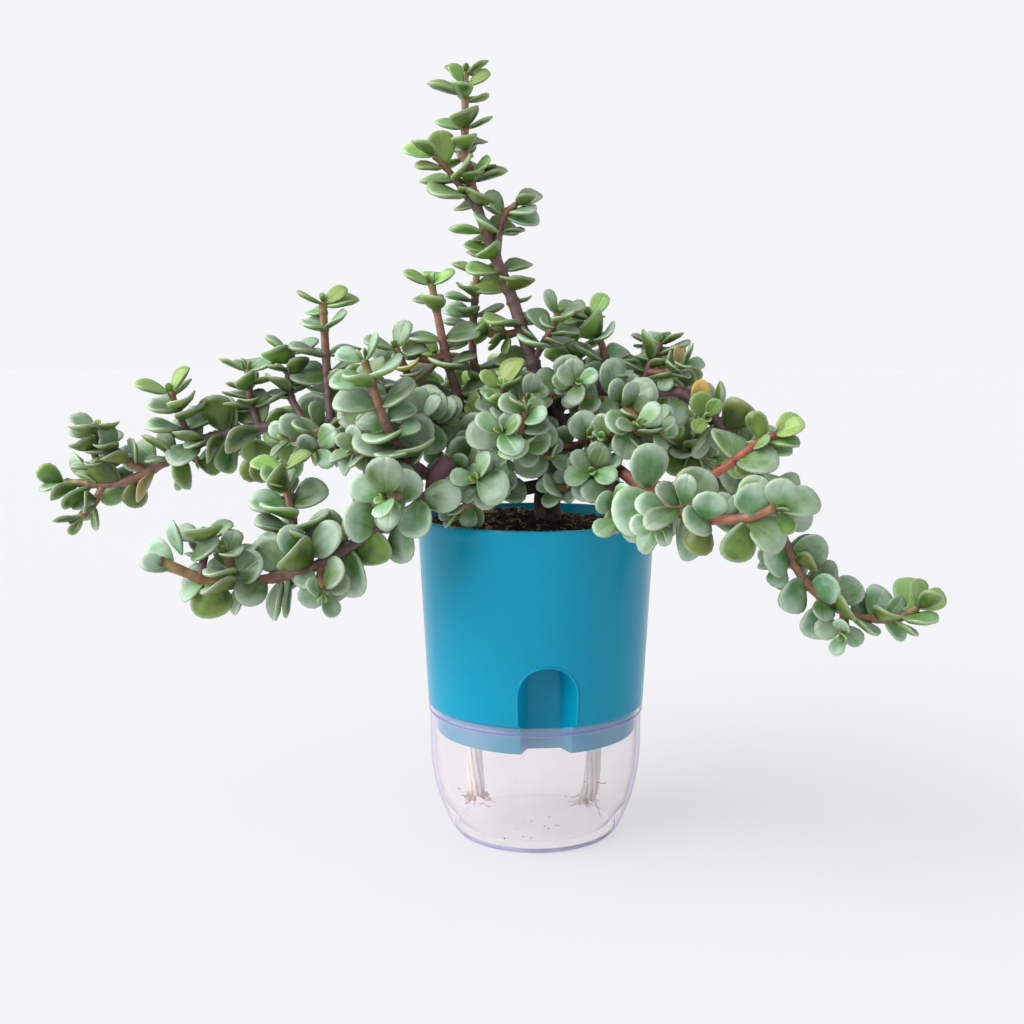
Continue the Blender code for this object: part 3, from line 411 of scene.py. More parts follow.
def sweep(path, radii, resolution):
    # a round bar along a path, with closed ends
    curve = bpy.data.curves.new("bar", "CURVE")
    curve.dimensions = "3D"
    curve.bevel_depth = 1.0
    curve.bevel_resolution = resolution
    curve.use_fill_caps = True
    spline = curve.splines.new("POLY")
    spline.points.add(len(path) - 1)
    for place, point, radius in zip(spline.points, path, radii):
        place.co = (*point, 1)
        place.radius = radius
    holder = bpy.data.objects.new("bar", curve)
    bpy.context.scene.collection.objects.link(holder)
    bpy.context.view_layer.update()
    data = bpy.data.meshes.new_from_object(
        holder.evaluated_get(bpy.context.evaluated_depsgraph_get()))
    bpy.data.objects.remove(holder)
    bpy.data.curves.remove(curve)
    mesh = bmesh.new()
    mesh.from_mesh(data)
    bpy.data.meshes.remove(data)
    bmesh.ops.remove_doubles(mesh, verts=mesh.verts, dist=1e-6)
    bmesh.ops.recalc_face_normals(mesh, faces=mesh.faces)
    return mesh


def boxOf(points, margin=0.0):
    low = [min(point[axis] for point in points) - margin for axis in range(3)]
    high = [max(point[axis] for point in points) + margin for axis in range(3)]
    return low, high


class Guard:
    # the space that a grown piece keeps to itself

    def __init__(self, points, faces, owner):
        self.tree = BVHTree.FromPolygons(points, faces)
        self.low, self.high = boxOf(points)
        self.owner = owner

    def near(self, low, high):
        return all(self.low[axis] <= high[axis] and self.high[axis] >= low[axis]
                   for axis in range(3))

    def crosses(self, other):
        return self.near(other.low, other.high) and bool(self.tree.overlap(other.tree))

    def free(self, guards):
        return not any(self.crosses(other) for other in guards)


def guardOf(mesh, owner):
    mesh.verts.index_update()
    points = [vert.co.copy() for vert in mesh.verts]
    faces = [[vert.index for vert in face.verts] for face in mesh.faces]
    mesh.free()
    return Guard(points, faces, owner)


def stemGuard(stem, owner):
    points = [point.copy() for point in stem.path]
    points[-1] += (points[-1] - points[-2]).normalized() * stemClearance
    radii = [stem.radius(distance) + stemClearance for distance in stem.reach]
    return guardOf(sweep(points, radii, 1), owner)


def leafPoint(x, y, z, length, width, thickness, cup, bend):
    # carries a point of the unit sphere to a leaf that grows along +X and faces +Z
    angle = math.atan2(y, x)
    spread = math.hypot(x, y)
    outlineX = 0.5 + 0.5 * math.cos(angle)
    outlineY = 1.25 * math.sin(angle) * max(outlineX, 0.0) ** 0.35
    along = 0.46 + (outlineX - 0.46) * spread
    across = outlineY * spread
    belly = z * (0.3 if z > 0 else 0.7)
    height = thickness * belly + cup * width * across ** 2 - bend * length * along ** 2
    return Vector((along * length, across * width / 2, height))


def bladeGuard():
    turns = [math.pi + math.tau * side / leafSides for side in range(leafSides)]
    points = [(math.cos(turn), math.sin(turn), 0.0) for turn in turns]
    points += [(0.0, 0.0, -1.0), (0.0, 0.0, 1.0)]
    sides = range(leafSides)
    faces = [(here, leafSides + pole, (here + 1) % leafSides) for here in sides for pole in (0, 1)]
    return points, faces


class Leaf:

    def __init__(self, root, outward, face, length, width, cup, bend, age):
        forward = outward.normalized()
        normal = face - forward * face.dot(forward)
        normal.normalize()
        sideways = normal.cross(forward)
        self.frame = Matrix((forward, sideways, normal)).transposed().to_4x4()
        self.frame.translation = root
        thickness = max(growing["leastThickness"] * mm, length * growing["leafThickness"])
        self.shape = (length, width, thickness, cup, bend)
        self.age = age
        self.rise = 0.0                # how steeply its stem climbs

    def guard(self, blade, owner, clearance=leafClearance):
        sphere, faces = blade
        length, width, thickness, cup, bend = self.shape
        shape = (length, width + 2 * clearance, thickness + 4 * clearance, cup, bend)
        foot, tip = 0.13 * length, length + clearance
        points = []
        for point in sphere:
            place = leafPoint(*point, *shape)
            place.x = foot + (tip - foot) * place.x / length
            points.append(self.frame @ place)
        return Guard(points, faces, owner)


def inMetres(points):
    return [Vector(point) * mm for point in points]


def growSkeleton():
    stems = {"trunk": Stem(inMetres(trunkPoints), trunkRadii)}
    for name, (radii, points) in limbs.items():
        stems[name] = Stem(inMetres(points), radii)
    for name, (parent, share, points, radii, *_) in shoots.items():
        carrier = stems[parent]
        start, direction = carrier.at(carrier.length * share)
        if share == 1.0:
            start = start - direction * 1.5 * mm
        stems[name] = Stem([start] + inMetres(points), radii)
    return stems


def lightAt(place):
    # leaves face up, and out of the plant to the front or the back
    lean = min(max((place.y - 15 * mm) / (30 * mm), -1.0), 1.0)
    return Vector((0, lean * 0.75, 0.70))


def scattered(draw):
    return Vector(draw.uniform(-growing["scatter"], growing["scatter"]) for _ in range(3))


def sideOf(direction, turn):
    upright = abs(direction.z) > 0.85
    first = direction.cross(Vector((0, 1, 0)) if upright else Vector((0, 0, 1))).normalized()
    return Matrix.Rotation(turn, 3, direction) @ first


def growTwigs(name, stem, count, bare, guards, draw):
    # short side twigs, turned by the golden angle from one to the next
    twigs = []
    room = stem.length - bare
    for index in range(count):
        distance = bare + room * (index + 0.6) / (count + 0.5)
        root, direction = stem.at(distance)
        length = draw.uniform(*growing["twigLength"]) * mm
        turn = index * goldenAngle + draw.uniform(-0.4, 0.4)
        lift = 0.4 if index % 2 else -0.3
        for attempt in range(leafTries):
            side = sideOf(direction, turn + attempt * 0.4)
            heading = side + direction * 0.35 + Vector((0, 0, lift))
            heading.normalize()
            reach = length * (1 - 0.03 * attempt)
            middle = root + heading * reach * 0.55
            tip = middle + (heading + Vector((0, 0, 0.35))).normalized() * reach * 0.5
            twig = Stem([root, middle, tip], growing["twigRadii"], 8)
            guard = stemGuard(twig, name)
            if guard.free(other for other in guards if other.owner != name):
                twigs.append(twig)
                guards.append(guard)
                break
    return twigs


def leavesAlong(stem, sizes, spacing, bare, twist, owner, guards, blade, draw):
    # opposite pairs, each a quarter turn on from the last, down from the tip
    leaves = []
    room = max(stem.length - bare, spacing)
    pairs = max(1, int(room / spacing) + 1)
    for pair in range(pairs):
        distance = stem.length - 0.7 * mm - pair * spacing * draw.uniform(0.93, 1.07)
        if distance < bare:
            break
        root, direction = stem.at(distance)
        stem.joints.append(distance)
        age = min(1.0, pair / 3)
        size = sizes[1] + (sizes[0] - sizes[1]) * pair / pairs
        size *= 0.80 + 0.20 * age
        turn = twist + pair * math.radians(90 + 7) + draw.uniform(-0.2, 0.2)
        for hand in (0, math.pi):
            length = size * draw.uniform(0.88, 1.10) * mm
            width = length * (draw.uniform(0.66, 0.76) + 0.20 * age)
            tilt = math.radians(draw.uniform(38, 58) - 26 * age)
            cup = draw.uniform(0.02, 0.10)
            bend = draw.uniform(-0.10, 0.12)
            scatter = scattered(draw)
            for attempt in range(leafTries):
                swing = (attempt + 1) // 2 * 0.16 * (-1) ** attempt
                side = sideOf(direction, turn + hand + swing)
                heading = side * math.cos(tilt) + direction * math.sin(tilt)
                heading.y *= 0.75
                heading.z += growing["lift"]
                heading.normalize()
                face = direction * growing["stemPull"] + lightAt(root) + scatter * (1 + attempt * 0.15)
                shrink = 1 - 0.03 * attempt
                foot = root + side * stem.radius(distance) * growing["footDepth"]
                leaf = Leaf(foot, heading, face, length * shrink, width * shrink, cup, bend, age)
                guard = leaf.guard(blade, owner)
                if guard.free(guards):
                    leaf.rise = direction.z
                    leaves.append(leaf)
                    guards.append(guard)
                    break
    return leaves


def gapLeaves(stem, size, bare, chance, owner, guards, blade, draw):
    leaves = []
    close = [guard for guard in guards if guard.near(*boxOf(stem.path, growing["gapReach"] * mm))]
    distance = bare
    while distance < stem.length - 2 * mm:
        distance += draw.uniform(*growing["gapStep"]) * mm
        if draw.random() > chance:
            continue
        root, direction = stem.at(distance)
        if all(low * mm < value < high * mm for value, (low, high) in zip(root, burlView)):
            continue
        turn = draw.uniform(0, math.tau)
        length = size * draw.uniform(0.62, 0.95) * mm
        width = length * draw.uniform(0.78, 0.95)
        tilt = math.radians(draw.uniform(10, 40))
        scatter = scattered(draw)
        for attempt in range(growing["gapTries"]):
            side = sideOf(direction, turn + attempt * 2.4)
            heading = side * math.cos(tilt) + direction * math.sin(tilt)
            heading.z += growing["lift"]
            face = direction * growing["stemPull"] + lightAt(root) + scatter
            shrink = 1 - 0.035 * attempt
            foot = root + side * stem.radius(distance) * growing["footDepth"]
            leaf = Leaf(foot, heading, face, length * shrink, width * shrink,
                        draw.uniform(0.02, 0.1), draw.uniform(-0.1, 0.12), 1.0)
            guard = leaf.guard(blade, owner, growing["gapClearance"] * mm)
            if guard.free(close):
                leaf.rise = direction.z
                leaves.append(leaf)
                guards.append(guard)
                close.append(guard)
                stem.joints.append(distance)
                break
    return leaves


# leaves that stand out: shoot, foot, tip, facing and width; then, where it isn't grown and
# green, its age (1 is grown) and its yellowing
loneLeaves = [
    ("leader", (-29.4, -1, 312), (-36, -5, 318.5), (0.3, -0.9, 0.5), 6, 0.1),
    ("leader", (-28.6, -1, 311.5), (-18.5, -5, 315.5), (-0.3, -0.8, 0.6), 6.5, 0.1),
    ("low_right", (50.5, -80, 147.9), (36.9, -90, 141.6), (-0.2, -0.7, 0.8), 9.4),
    ("low_right", (51.2, -80, 148.6), (53.6, -84, 160.8), (-0.3, -0.9, 0.2), 8.8),
    ("low_right", (50.1, -80, 148.6), (40.8, -82, 156), (0.2, -0.8, 0.6), 8.5),
    ("low_right", (58.6, -88, 144.6), (59.3, -93, 155.7), (0, -0.9, 0.35), 12.8),
    ("low_right", (73.2, -94, 146.4), (71.8, -98, 159), (0.1, -0.9, 0.3), 14.7),
    ("low_right", (58.2, -88, 143.9), (53.6, -90, 132.4), (0.2, 1, 0.1), 11.5),
    ("low_right", (69.8, -94, 145), (69.4, -96, 130.2), (-0.2, 1, 0), 13.7),
    ("low_right", (81.4, -96, 149.8), (86.6, -97, 140.5), (0.6, 0.8, 0.1), 6.8),
    ("lower_left", (-124.3, -62, 121.2), (-123.4, -66, 104.1), (0.15, 1, 0), 16.9),
    ("lower_left", (-133.6, -63, 127.8), (-137.1, -62, 141.6), (-0.5, -0.8, 0.1), 7),
    ("lower_left", (-130.6, -63, 126.3), (-118.1, -66, 133.9), (0, -0.6, 0.8), 11),
    ("lower_left", (-115.3, -62, 118.5), (-101.9, -68, 128.2), (0.1, -0.9, 0.4), 12.8),
    ("lower_left", (-88.4, -58, 127), (-96.8, -64, 138.1), (0.1, -0.8, 0.5), 12.2),
    ("lower_left", (-86.9, -58, 127), (-72.3, -64, 138.1), (-0.1, -0.85, 0.4), 13.3),
    ("lower_left", (-71.4, -52, 123.8), (-57.1, -56, 132.5), (0.2, 1, 0.2), 13.9),
    ("low_front", (-52.8, -60, 146.7), (-47.1, -64, 160.5), (0.1, -0.95, 0.2), 13.3),
    ("right", (67.6, -8, 179.4), (66.3, -12, 193), (0.1, -1, 0.2), 8.6, 1, 1),
    ("right", (75.4, -4, 175.5), (76.7, -4, 192.5), (1, -0.3, 0.1), 10.4),
    ("right", (80.7, -8, 168.7), (80.8, -8, 182.7), (0.9, -0.6, 0), 7.5),
    ("red_shoot", (88.2, -38, 168.9), (83.3, -38, 181.3), (0.3, 0.9, 0.3), 8.6, 0.1),
    ("red_shoot", (89, -38, 169.3), (101.8, -42, 167.6), (0, -0.3, 1), 10.1, 0.3),
    ("centre_top", (-11.7, -32, 179.9), (-18.2, -40, 186.4), (0.3, 0.9, 0.5), 6.6, 0),
    ("centre_top", (-11.7, -32, 179.9), (-5.5, -40, 183.7), (-0.3, 0.8, 0.6), 6.6, 0),
]


def makeLoneLeaves():
    made = []
    for name, foot, tip, face, width, *state in loneLeaves:
        age, faded = (state + [0.0])[:2] if state else (1.0, 0.0)
        outward = Vector(tip) - Vector(foot)
        leaf = Leaf(Vector(foot) * mm, outward, Vector(face), outward.length * mm, width * mm,
                    0.10, -0.03, age)
        made.append((name, leaf, faded))
    return made


def growPlant():
    draw = random.Random(growing["seed"])
    stems = growSkeleton()
    stemGuards = []
    for name, stem in stems.items():
        stemGuards.append(stemGuard(stem, name if name in shoots else "wood"))
    rim, top = rimRadius + stemClearance, rimHeight + stemClearance
    cup = [(0, 0), (rim, 0), (rim, top), (rim - 3 * mm, top), (rim - 3 * mm, soilLevel + mm),
           (0, soilLevel + 7 * mm)]
    stemGuards.append(guardOf(spinProfile(cup, 32), "pot"))

    twigs = {}
    for name, (*_, bare, count) in shoots.items():
        twigs[name] = growTwigs(name, stems[name], count, bare * mm, stemGuards, draw)

    blade = bladeGuard()
    leafGuards = [leaf.guard(blade, name) for name, leaf, _ in makeLoneLeaves()]
    space = bmesh.new()
    bmesh.ops.create_cube(space, size=1)
    bmesh.ops.scale(space, verts=space.verts, vec=soilViewSize * mm)
    bmesh.ops.translate(space, verts=space.verts, vec=soilViewPlace * mm)
    leafGuards.append(guardOf(space, "clear space over the soil"))
    leaves = {}
    for name, (*_, sizes, spacing, bare, _) in shoots.items():
        guards = [guard for guard in stemGuards if guard.owner != name] + leafGuards
        start = len(guards)
        twist = draw.uniform(-growing["twist"], growing["twist"])
        grown = leavesAlong(stems[name], sizes, spacing * mm, bare * mm, twist, name, guards,
                            blade, draw)
        for twig in twigs[name]:
            small = (min(sizes) * 0.95, min(sizes) * 0.85)
            grown += leavesAlong(twig, small, growing["twigSpacing"] * mm,
                                 growing["twigBare"] * mm, draw.uniform(0, 3), name, guards,
                                 blade, draw)
        leafGuards += guards[start:]
        leaves[name] = grown

    # smaller leaves in the gaps that the pairs leave
    draw = random.Random(29)
    for name, (*_, sizes, _, bare, _) in shoots.items():
        guards = [guard for guard in stemGuards if guard.owner != name] + leafGuards
        start = len(guards)
        chance = growing["thinShoots"].get(name, 1.0) * growing["gapChance"]
        leaves[name] += gapLeaves(stems[name], max(sizes), bare * mm, chance, name, guards,
                                  blade, draw)
        for twig in twigs[name]:
            leaves[name] += gapLeaves(twig, min(sizes), 3 * mm, chance, name, guards, blade, draw)
        leafGuards += guards[start:]
    return stems, twigs, leaves


# Leafy shoots

leafLook = {
    "youngTop": rgb(144, 176, 92),
    "oldTop": rgb(86, 132, 70),
    "under": rgb(116, 142, 58),
    "underDark": rgb(56, 86, 34),
    "rim": rgb(206, 220, 186),
    "bloom": rgb(180, 202, 184),
    "yellow": rgb(226, 176, 92),
    "sides": (20, 14),             # of large and small leaves
    "large": 14,                   # millimetres
    "bloomAmount": 0.85,
    "hueSpread": 0.045,
    "valueSpread": 0.46,
    "leastAge": 0.6,               # of the leaves at the other shoots' tips
    "fadedShare": 0.008,
    # millimetres from a tip over which a shoot's leaves turn from lime to their grown colour
    "limeReach": {"leader": 90, "leader_twig_left": 60, "riser_near": 16, "riser_mid": 22,
                  "riser_far": 16, "red_shoot": 30, "centre_top": 14, "right_riser": 14,
                  "right": 22, "low_riser": 14, "far_left_riser_1": 12, "back_riser": 20},
}
stemLook = {
    "youngest": rgb(152, 142, 84),
    "young": rgb(150, 106, 84),
    "old": rgb(112, 88, 90),
    "red": rgb(170, 94, 74),
    "ring": rgb(70, 46, 44),
    "reddened": {"red_shoot": 2.0, "low_right": 1.68},     # 1.5 not at all, 1.9 wholly
    "stouter": 0.35,           # millimetres, over the plan's radius
    "jointSwell": 0.25,        # of the stem's radius
    "jointLength": 0.9,        # millimetres
    "step": 1.2,
}


def makeLeafFinish():
    # leafPlace: along, across and through the leaf; leafTone: chance, age and yellowing
    finish, tree, shader = newFinish("leaf")
    place = attributeVector(tree, "leafPlace")
    tone = attributeVector(tree, "leafTone")
    top = smoothMask(tree, place[2], -0.08, 0.10)
    edge = smoothMask(tree, calculate(tree, "ABSOLUTE", place[2]), 0.62, 0.30)
    blade = mixColour(tree, tone[1], leafLook["youngTop"], leafLook["oldTop"])
    used = mottled(tree, blade, 110.0, 0.35, 1800.0, 0.15)

    # a waxy bloom, thicker towards the tip and thinner over the middle
    middle = calculate(tree, "POWER", calculate(tree, "ABSOLUTE", place[2]), 2.0)
    spread = calculate(tree, "MULTIPLY_ADD", middle, -0.14,
                       calculate(tree, "MULTIPLY_ADD", place[0], 0.5, used["Patches"]))
    bloom = smoothMask(tree, spread, 0.42, 1.0)
    grown = calculate(tree, "MULTIPLY", smoothMask(tree, tone[1], 0.1, 0.8),
                      leafLook["bloomAmount"])
    dusted = mixColour(tree, calculate(tree, "MULTIPLY", bloom, grown), used["Color"],
                       leafLook["bloom"])
    shade = smoothMask(tree, calculate(tree, "MULTIPLY_ADD", place[0], 0.3, used["Patches"]),
                       0.45, 0.85)
    under = mixColour(tree, shade, leafLook["underDark"], leafLook["under"])
    both = mixColour(tree, top, under, dusted)
    rimmed = mixColour(tree, calculate(tree, "MULTIPLY", edge, 0.35), both, leafLook["rim"])
    turned = mixColour(tree, calculate(tree, "MULTIPLY", tone[2], 0.9), rimmed, leafLook["yellow"])
    hue = calculate(tree, "MULTIPLY_ADD", tone[0], leafLook["hueSpread"],
                    0.5 - leafLook["hueSpread"] / 2)
    value = calculate(tree, "MULTIPLY_ADD", tone[0], leafLook["valueSpread"],
                      0.95 - leafLook["valueSpread"] / 2)
    shifted = addNode(tree, "ShaderNodeHueSaturation",
                      {"Color": turned, "Hue": hue, "Value": value})

    # a faint crease along the middle, and pores all over
    crease = smoothMask(tree, calculate(tree, "ABSOLUTE", place[1]), 0.0, 0.16)
    relief = calculate(tree, "MULTIPLY_ADD", used["Grain"], 0.12,
                       calculate(tree, "MULTIPLY", crease, top))
    bumped(tree, shader, relief, 0.0003, 0.5)
    wire(tree, shader, Base_Color=shifted.outputs["Color"],
         Roughness=remap(tree, used["Patches"], 0.3, 0.7, 0.26, 0.46))
    return finish


def makeStemFinish():
    finish, tree, shader = newFinish("stem")
    place = attributeVector(tree, "stemPlace")
    fresh = mixColour(tree, smoothMask(tree, place[0], 0.0, 0.3), stemLook["youngest"],
                      stemLook["young"])
    aged = mixColour(tree, smoothMask(tree, place[0], 0.30, 0.75), fresh, stemLook["old"])
    aged = mixColour(tree, smoothMask(tree, place[2], 1.5, 1.9), aged, stemLook["red"])
    used = mottled(tree, aged, 260.0, 0.7, 2400.0, 0.45)
    ringed = mixColour(tree, calculate(tree, "MULTIPLY", place[1], 0.45), used["Color"],
                       stemLook["ring"])
    wire(tree, shader, Base_Color=ringed,
         Roughness=remap(tree, used["Grain"], 0.3, 0.7, 0.30, 0.5))
    bumped(tree, shader, used["Grain"], 0.00025, 0.6)
    return finish


def posed(leaf, draw):
    # leaves on upright stems lie flatter, those on level stems turn more to the outside
    forward, face = (leaf.frame.col[axis].xyz for axis in (0, 2))
    root = leaf.frame.translation
    flat = min(max((leaf.rise - 0.3) / 0.4, 0.0), 1.0)
    forward.z *= 1 - 0.65 * flat
    forward.y *= 1 - 0.4 * (1 - flat)
    outside = -1.0 if root.y < 22 * mm else 1.0
    if forward.z < -0.3 and draw.random() < 0.6:
        outside = -outside             # a hanging leaf that shows its underside
    aim = Vector((draw.uniform(-0.8, 0.8), outside * (1 - 0.6 * flat) + draw.uniform(-0.3, 0.3),
                  0.45 + 0.55 * flat + draw.uniform(-0.3, 0.3)))
    face = face.lerp(aim.normalized(), 0.35 + 0.25 * flat)
    length, width, _, cup, bend = leaf.shape
    larger = 1.06 + 0.16 * flat
    turned = Leaf(root, forward, face, length * larger, width * larger, cup, bend, leaf.age)
    return turned.frame, turned.shape


def addLeaf(mesh, layers, frame, shape, tone):
    # a soft pad: a sphere laid out to the leaf's outline, with a full round rim and a slight curl
    length, width = shape[:2]
    large, small = leafLook["sides"]
    sides = large if length > leafLook["large"] * mm else small
    made = bmesh.ops.create_uvsphere(mesh, u_segments=sides, v_segments=5, radius=1)
    curl = tone[0] * 7 % 1 - 0.5
    wave = tone[0] * 3 % 1 - 0.5
    for vert in made["verts"]:
        x, y, z = vert.co
        spread = math.hypot(x, y)
        fuller = spread ** 0.8 / spread if spread > 1e-6 else 1.0
        vert[layers[0]] = (0.5 + 0.5 * x, y, z)
        vert[layers[1]] = tone
        place = leafPoint(x * fuller, y * fuller, z, *shape)
        along, across = place.x / length, 2 * place.y / width
        place.z += length * (0.12 * curl * along * across + 0.06 * across ** 2)
        place.z += length * 0.10 * wave * along ** 2
        place.y += width * 0.14 * wave * along ** 2
        vert.co = frame @ place


def addStem(mesh, stem, ages, tone, cutOff=False):
    # ring-like joints stand out where the leaf pairs sit
    path = smoothPath(stem.points, stemLook["step"] * mm)
    if cutOff:
        onward = (path[-1] - path[-2]).normalized() * mm
        path += [path[-1] + onward * step for step in (1.2, 2.4, 3.6, 4.8)]
    reach = reachAlong(path)
    scale = stem.length / reach[-1]
    swells = []
    for distance in reach:
        near = min((abs(distance * scale - joint) for joint in stem.joints), default=1.0)
        swells.append(math.exp(-(near / (stemLook["jointLength"] * mm)) ** 2))
    radii = [(stem.radius(distance * scale) + stemLook["stouter"] * mm)
             * (1 + stemLook["jointSwell"] * swell) for distance, swell in zip(reach, swells)]
    if cutOff:
        radii[-12:] = [radius + 0.7 * mm * step / 12 for step, radius in enumerate(radii[-12:])]
        swells[-2:] = [2.0, 2.0]       # the dark cut end
    else:
        radii[-1] *= 0.6
    bar = sweep(path, radii, 2)
    tree = KDTree(len(path))
    for index, point in enumerate(path):
        tree.insert(point, index)
    tree.balance()
    layer = vectorLayer(bar, "stemPlace")
    for vert in bar.verts:
        index = tree.find(vert.co)[1]
        age = ages[1] + (ages[0] - ages[1]) * reach[index] / reach[-1]
        vert[layer] = (age, swells[index], tone)
    count = len(mesh.faces)
    takeIn(mesh, bar)
    mesh.faces.ensure_lookup_table()
    for face in mesh.faces[count:]:
        face.material_index = 1


def addTipLeaves(mesh, layers, stem, size, draw):
    # the small young leaves that open at the end of a stem
    tip, direction = stem.at(stem.length)
    turn = draw.uniform(0, math.pi)
    for hand in (0, math.pi):
        side = sideOf(direction, turn + hand)
        heading = side * 0.45 + direction
        length = size * draw.uniform(0.26, 0.42)
        leaf = Leaf(tip - direction * 0.6 * mm, heading, direction - side * 0.6, length,
                    length * 0.6, 0.1, -0.05, 0.0)
        shape = (length, length * 0.62, max(0.9 * mm, length * 0.26), 0.1, -0.05)
        addLeaf(mesh, layers, leaf.frame, shape, (draw.random(), -0.3, 0.0))


def makeShoots(stems, twigs, leaves, finishes):
    draw = random.Random(3)
    for name, (*_, sizes, _, _, _) in shoots.items():
        mesh = bmesh.new()
        for key in ("leafPlace", "leafTone", "stemPlace"):
            vectorLayer(mesh, key)
        layers = [mesh.verts.layers.float_vector[key] for key in ("leafPlace", "leafTone")]
        own = [stems[name]] + twigs[name]
        tips = [stem.points[-1] for stem in own]
        lime = leafLook["limeReach"].get(name, 0.0) * mm
        for leaf in leaves[name]:
            away = min((leaf.frame.translation - tip).length for tip in tips[:1 + len(tips) // 2])
            age = min(1.0, away / lime) if lime else draw.uniform(leafLook["leastAge"], 1.0)
            age *= draw.uniform(0.85, 1.1)
            faded = draw.uniform(0.3, 0.8) if draw.random() < leafLook["fadedShare"] else 0.0
            faded *= not lime
            frame, shape = posed(leaf, draw)
            addLeaf(mesh, layers, frame, shape, (draw.random(), age, faded))
        for shoot, leaf, faded in makeLoneLeaves():
            if shoot == name:
                addLeaf(mesh, layers, leaf.frame, leaf.shape, (draw.random(), leaf.age, faded))
        old = 0.2 if name == "red_shoot" else 1.0
        tone = stemLook["reddened"].get(name, draw.random())
        addStem(mesh, stems[name], (0.1, old), tone, name == "lower_left")
        for twig in twigs[name]:
            addStem(mesh, twig, (0.1, 0.5), draw.random())
        for stem in own:
            if name != "lower_left" or stem in twigs[name]:
                addTipLeaves(mesh, layers, stem, min(sizes) * mm, draw)
        bmesh.ops.recalc_face_normals(mesh, faces=mesh.faces)
        settle(toObject("shoot_" + name, mesh, finishes), "leaf", name)


# Trunk and limbs

trunkLook = {
    "voxel": 0.75,             # millimetres
    "stub": [(-40, -40, 149), (-41, -43, 152), (-38, -45, 158), (-34.5, -46, 163)],
    "stubRadii": (3.0, 3.3, 3.5, 3.3),
    "ridges": 0.55,            # millimetres, as are the lumps
    "lumps": 0.9,
    "dark": rgb(52, 45, 50),
    "warm": rgb(112, 86, 82),
    "grey": rgb(128, 108, 102),
    "mauve": rgb(118, 84, 98),
    # near black: the painted shade in the bark's cracks
    "shadedCrack": (0.004, 0.003, 0.003, 1),
}


def makeBarkFinish():
    finish, tree, shader = newFinish("bark", Roughness=0.85)
    place = addNode(tree, "ShaderNodeTexCoord").outputs["Object"]
    along = addNode(tree, "ShaderNodeMapping", {"Vector": place, "Scale": (1.0, 1.0, 0.35)})
    cracks = addNode(tree, "ShaderNodeTexVoronoi", {"Vector": along.outputs["Vector"],
                                                    "Scale": 520.0}, feature="DISTANCE_TO_EDGE")
    used = mottled(tree, trunkLook["dark"], 90.0, 0.5, 1600.0, 0.8)
    warm = mixColour(tree, smoothMask(tree, used["Patches"], 0.42, 0.62), used["Color"],
                     trunkLook["warm"])
    read = attributeVector(tree, "barkPlace")
    grey = mixColour(tree, read[0], warm, trunkLook["grey"])
    grey = mixColour(tree, read[1], grey, trunkLook["mauve"])
    # the bark's cracks, sunk by the bump and darkened towards near black as painted shade
    shadedCrack = smoothMask(tree, cracks.outputs["Distance"], 0.0, 0.14)
    shadedCrack = calculate(tree, "MAXIMUM", shadedCrack, calculate(tree, "MAXIMUM", read[1], read[0]))
    toned = mixColour(tree, shadedCrack, mixColour(tree, 0.7, grey, trunkLook["shadedCrack"]), grey)
    wire(tree, shader, Base_Color=toned)
    relief = calculate(tree, "ADD", shadedCrack, calculate(tree, "MULTIPLY", used["Grain"], 0.8))
    bumped(tree, shader, relief, 0.0006, 0.8)
    return finish


def makeTrunk(stems, finish):
    mesh = bmesh.new()
    stub = Stem(inMetres(trunkLook["stub"]), trunkLook["stubRadii"], 2)
    for stem in [stems["trunk"]] + [stems[name] for name in limbs] + [stub]:
        path = smoothPath(stem.points, 1.5 * mm)
        reach = reachAlong(path)
        scale = stem.length / reach[-1]
        takeIn(mesh, sweep(path, [stem.radius(distance * scale) for distance in reach], 3))
    trunk = toObject("trunk_wood", mesh, [finish])
    remesh = trunk.modifiers.new("grow together", "REMESH")
    remesh.mode = "VOXEL"
    remesh.voxel_size = trunkLook["voxel"] * mm
    smooth = trunk.modifiers.new("soften", "SMOOTH")
    smooth.iterations = 6
    applyModifiers(trunk)
    mesh = bmesh.new()
    mesh.from_mesh(trunk.data)
    mesh.normal_update()
    layer = vectorLayer(mesh, "barkPlace")
    for vert in mesh.verts:
        place = vert.co
        reach = min(1.0, (place.xy - Vector((5 * mm, 2 * mm))).length / (26 * mm))
        lump = noise.noise(place * 95) * trunkLook["lumps"] * (1 - 0.6 * reach)
        ridge = noise.noise(Vector((place.x, place.y, place.z * 0.3)) * 420)
        ridge *= trunkLook["ridges"] * (1 - 0.7 * reach)
        vert.co = place + vert.normal * (lump + ridge) * mm
        cutEnd = float(place.x < -28 * mm and place.y < -38 * mm and place.z > 152 * mm)
        vert[layer] = (0.5 * reach * (1 - cutEnd), cutEnd, 0)
    mesh.to_mesh(trunk.data)
    mesh.free()
    settle(trunk, "trunk_bark", "trunk")


# Inner pot

potLook = {
    "segments": 96,
    "wall": 1.7,
    "recessTop": 81.0,
    "recessHalf": 12.8,        # half its width at the mouth
    "panelHalf": 6.7,          # and at the back panel
    "mouthDepth": 46.5,        # of the mouth and the panel, from the pot's axis
    "panelDepth": 33.0,
    "turn": 5.0,               # degrees
    "bead": 0.55,              # millimetres, of the recess's raised edge
    "colour": rgb(3, 146, 180),
}
shoulderRadius = 46.0 * mm
shoulderHeight = 56.0 * mm
skirtRadius = 42.6 * mm
skirtBottom = 44.0 * mm
rimStep = 0.7 * mm
archSpring = potLook["recessTop"] * mm - potLook["recessHalf"] * mm
recessSlope = ((potLook["recessHalf"] - potLook["panelHalf"])
               / (potLook["mouthDepth"] - potLook["panelDepth"]))


def wallRadius(height):
    share = (height - shoulderHeight) / (rimHeight - shoulderHeight)
    return shoulderRadius + share * (rimRadius - rimStep - shoulderRadius)


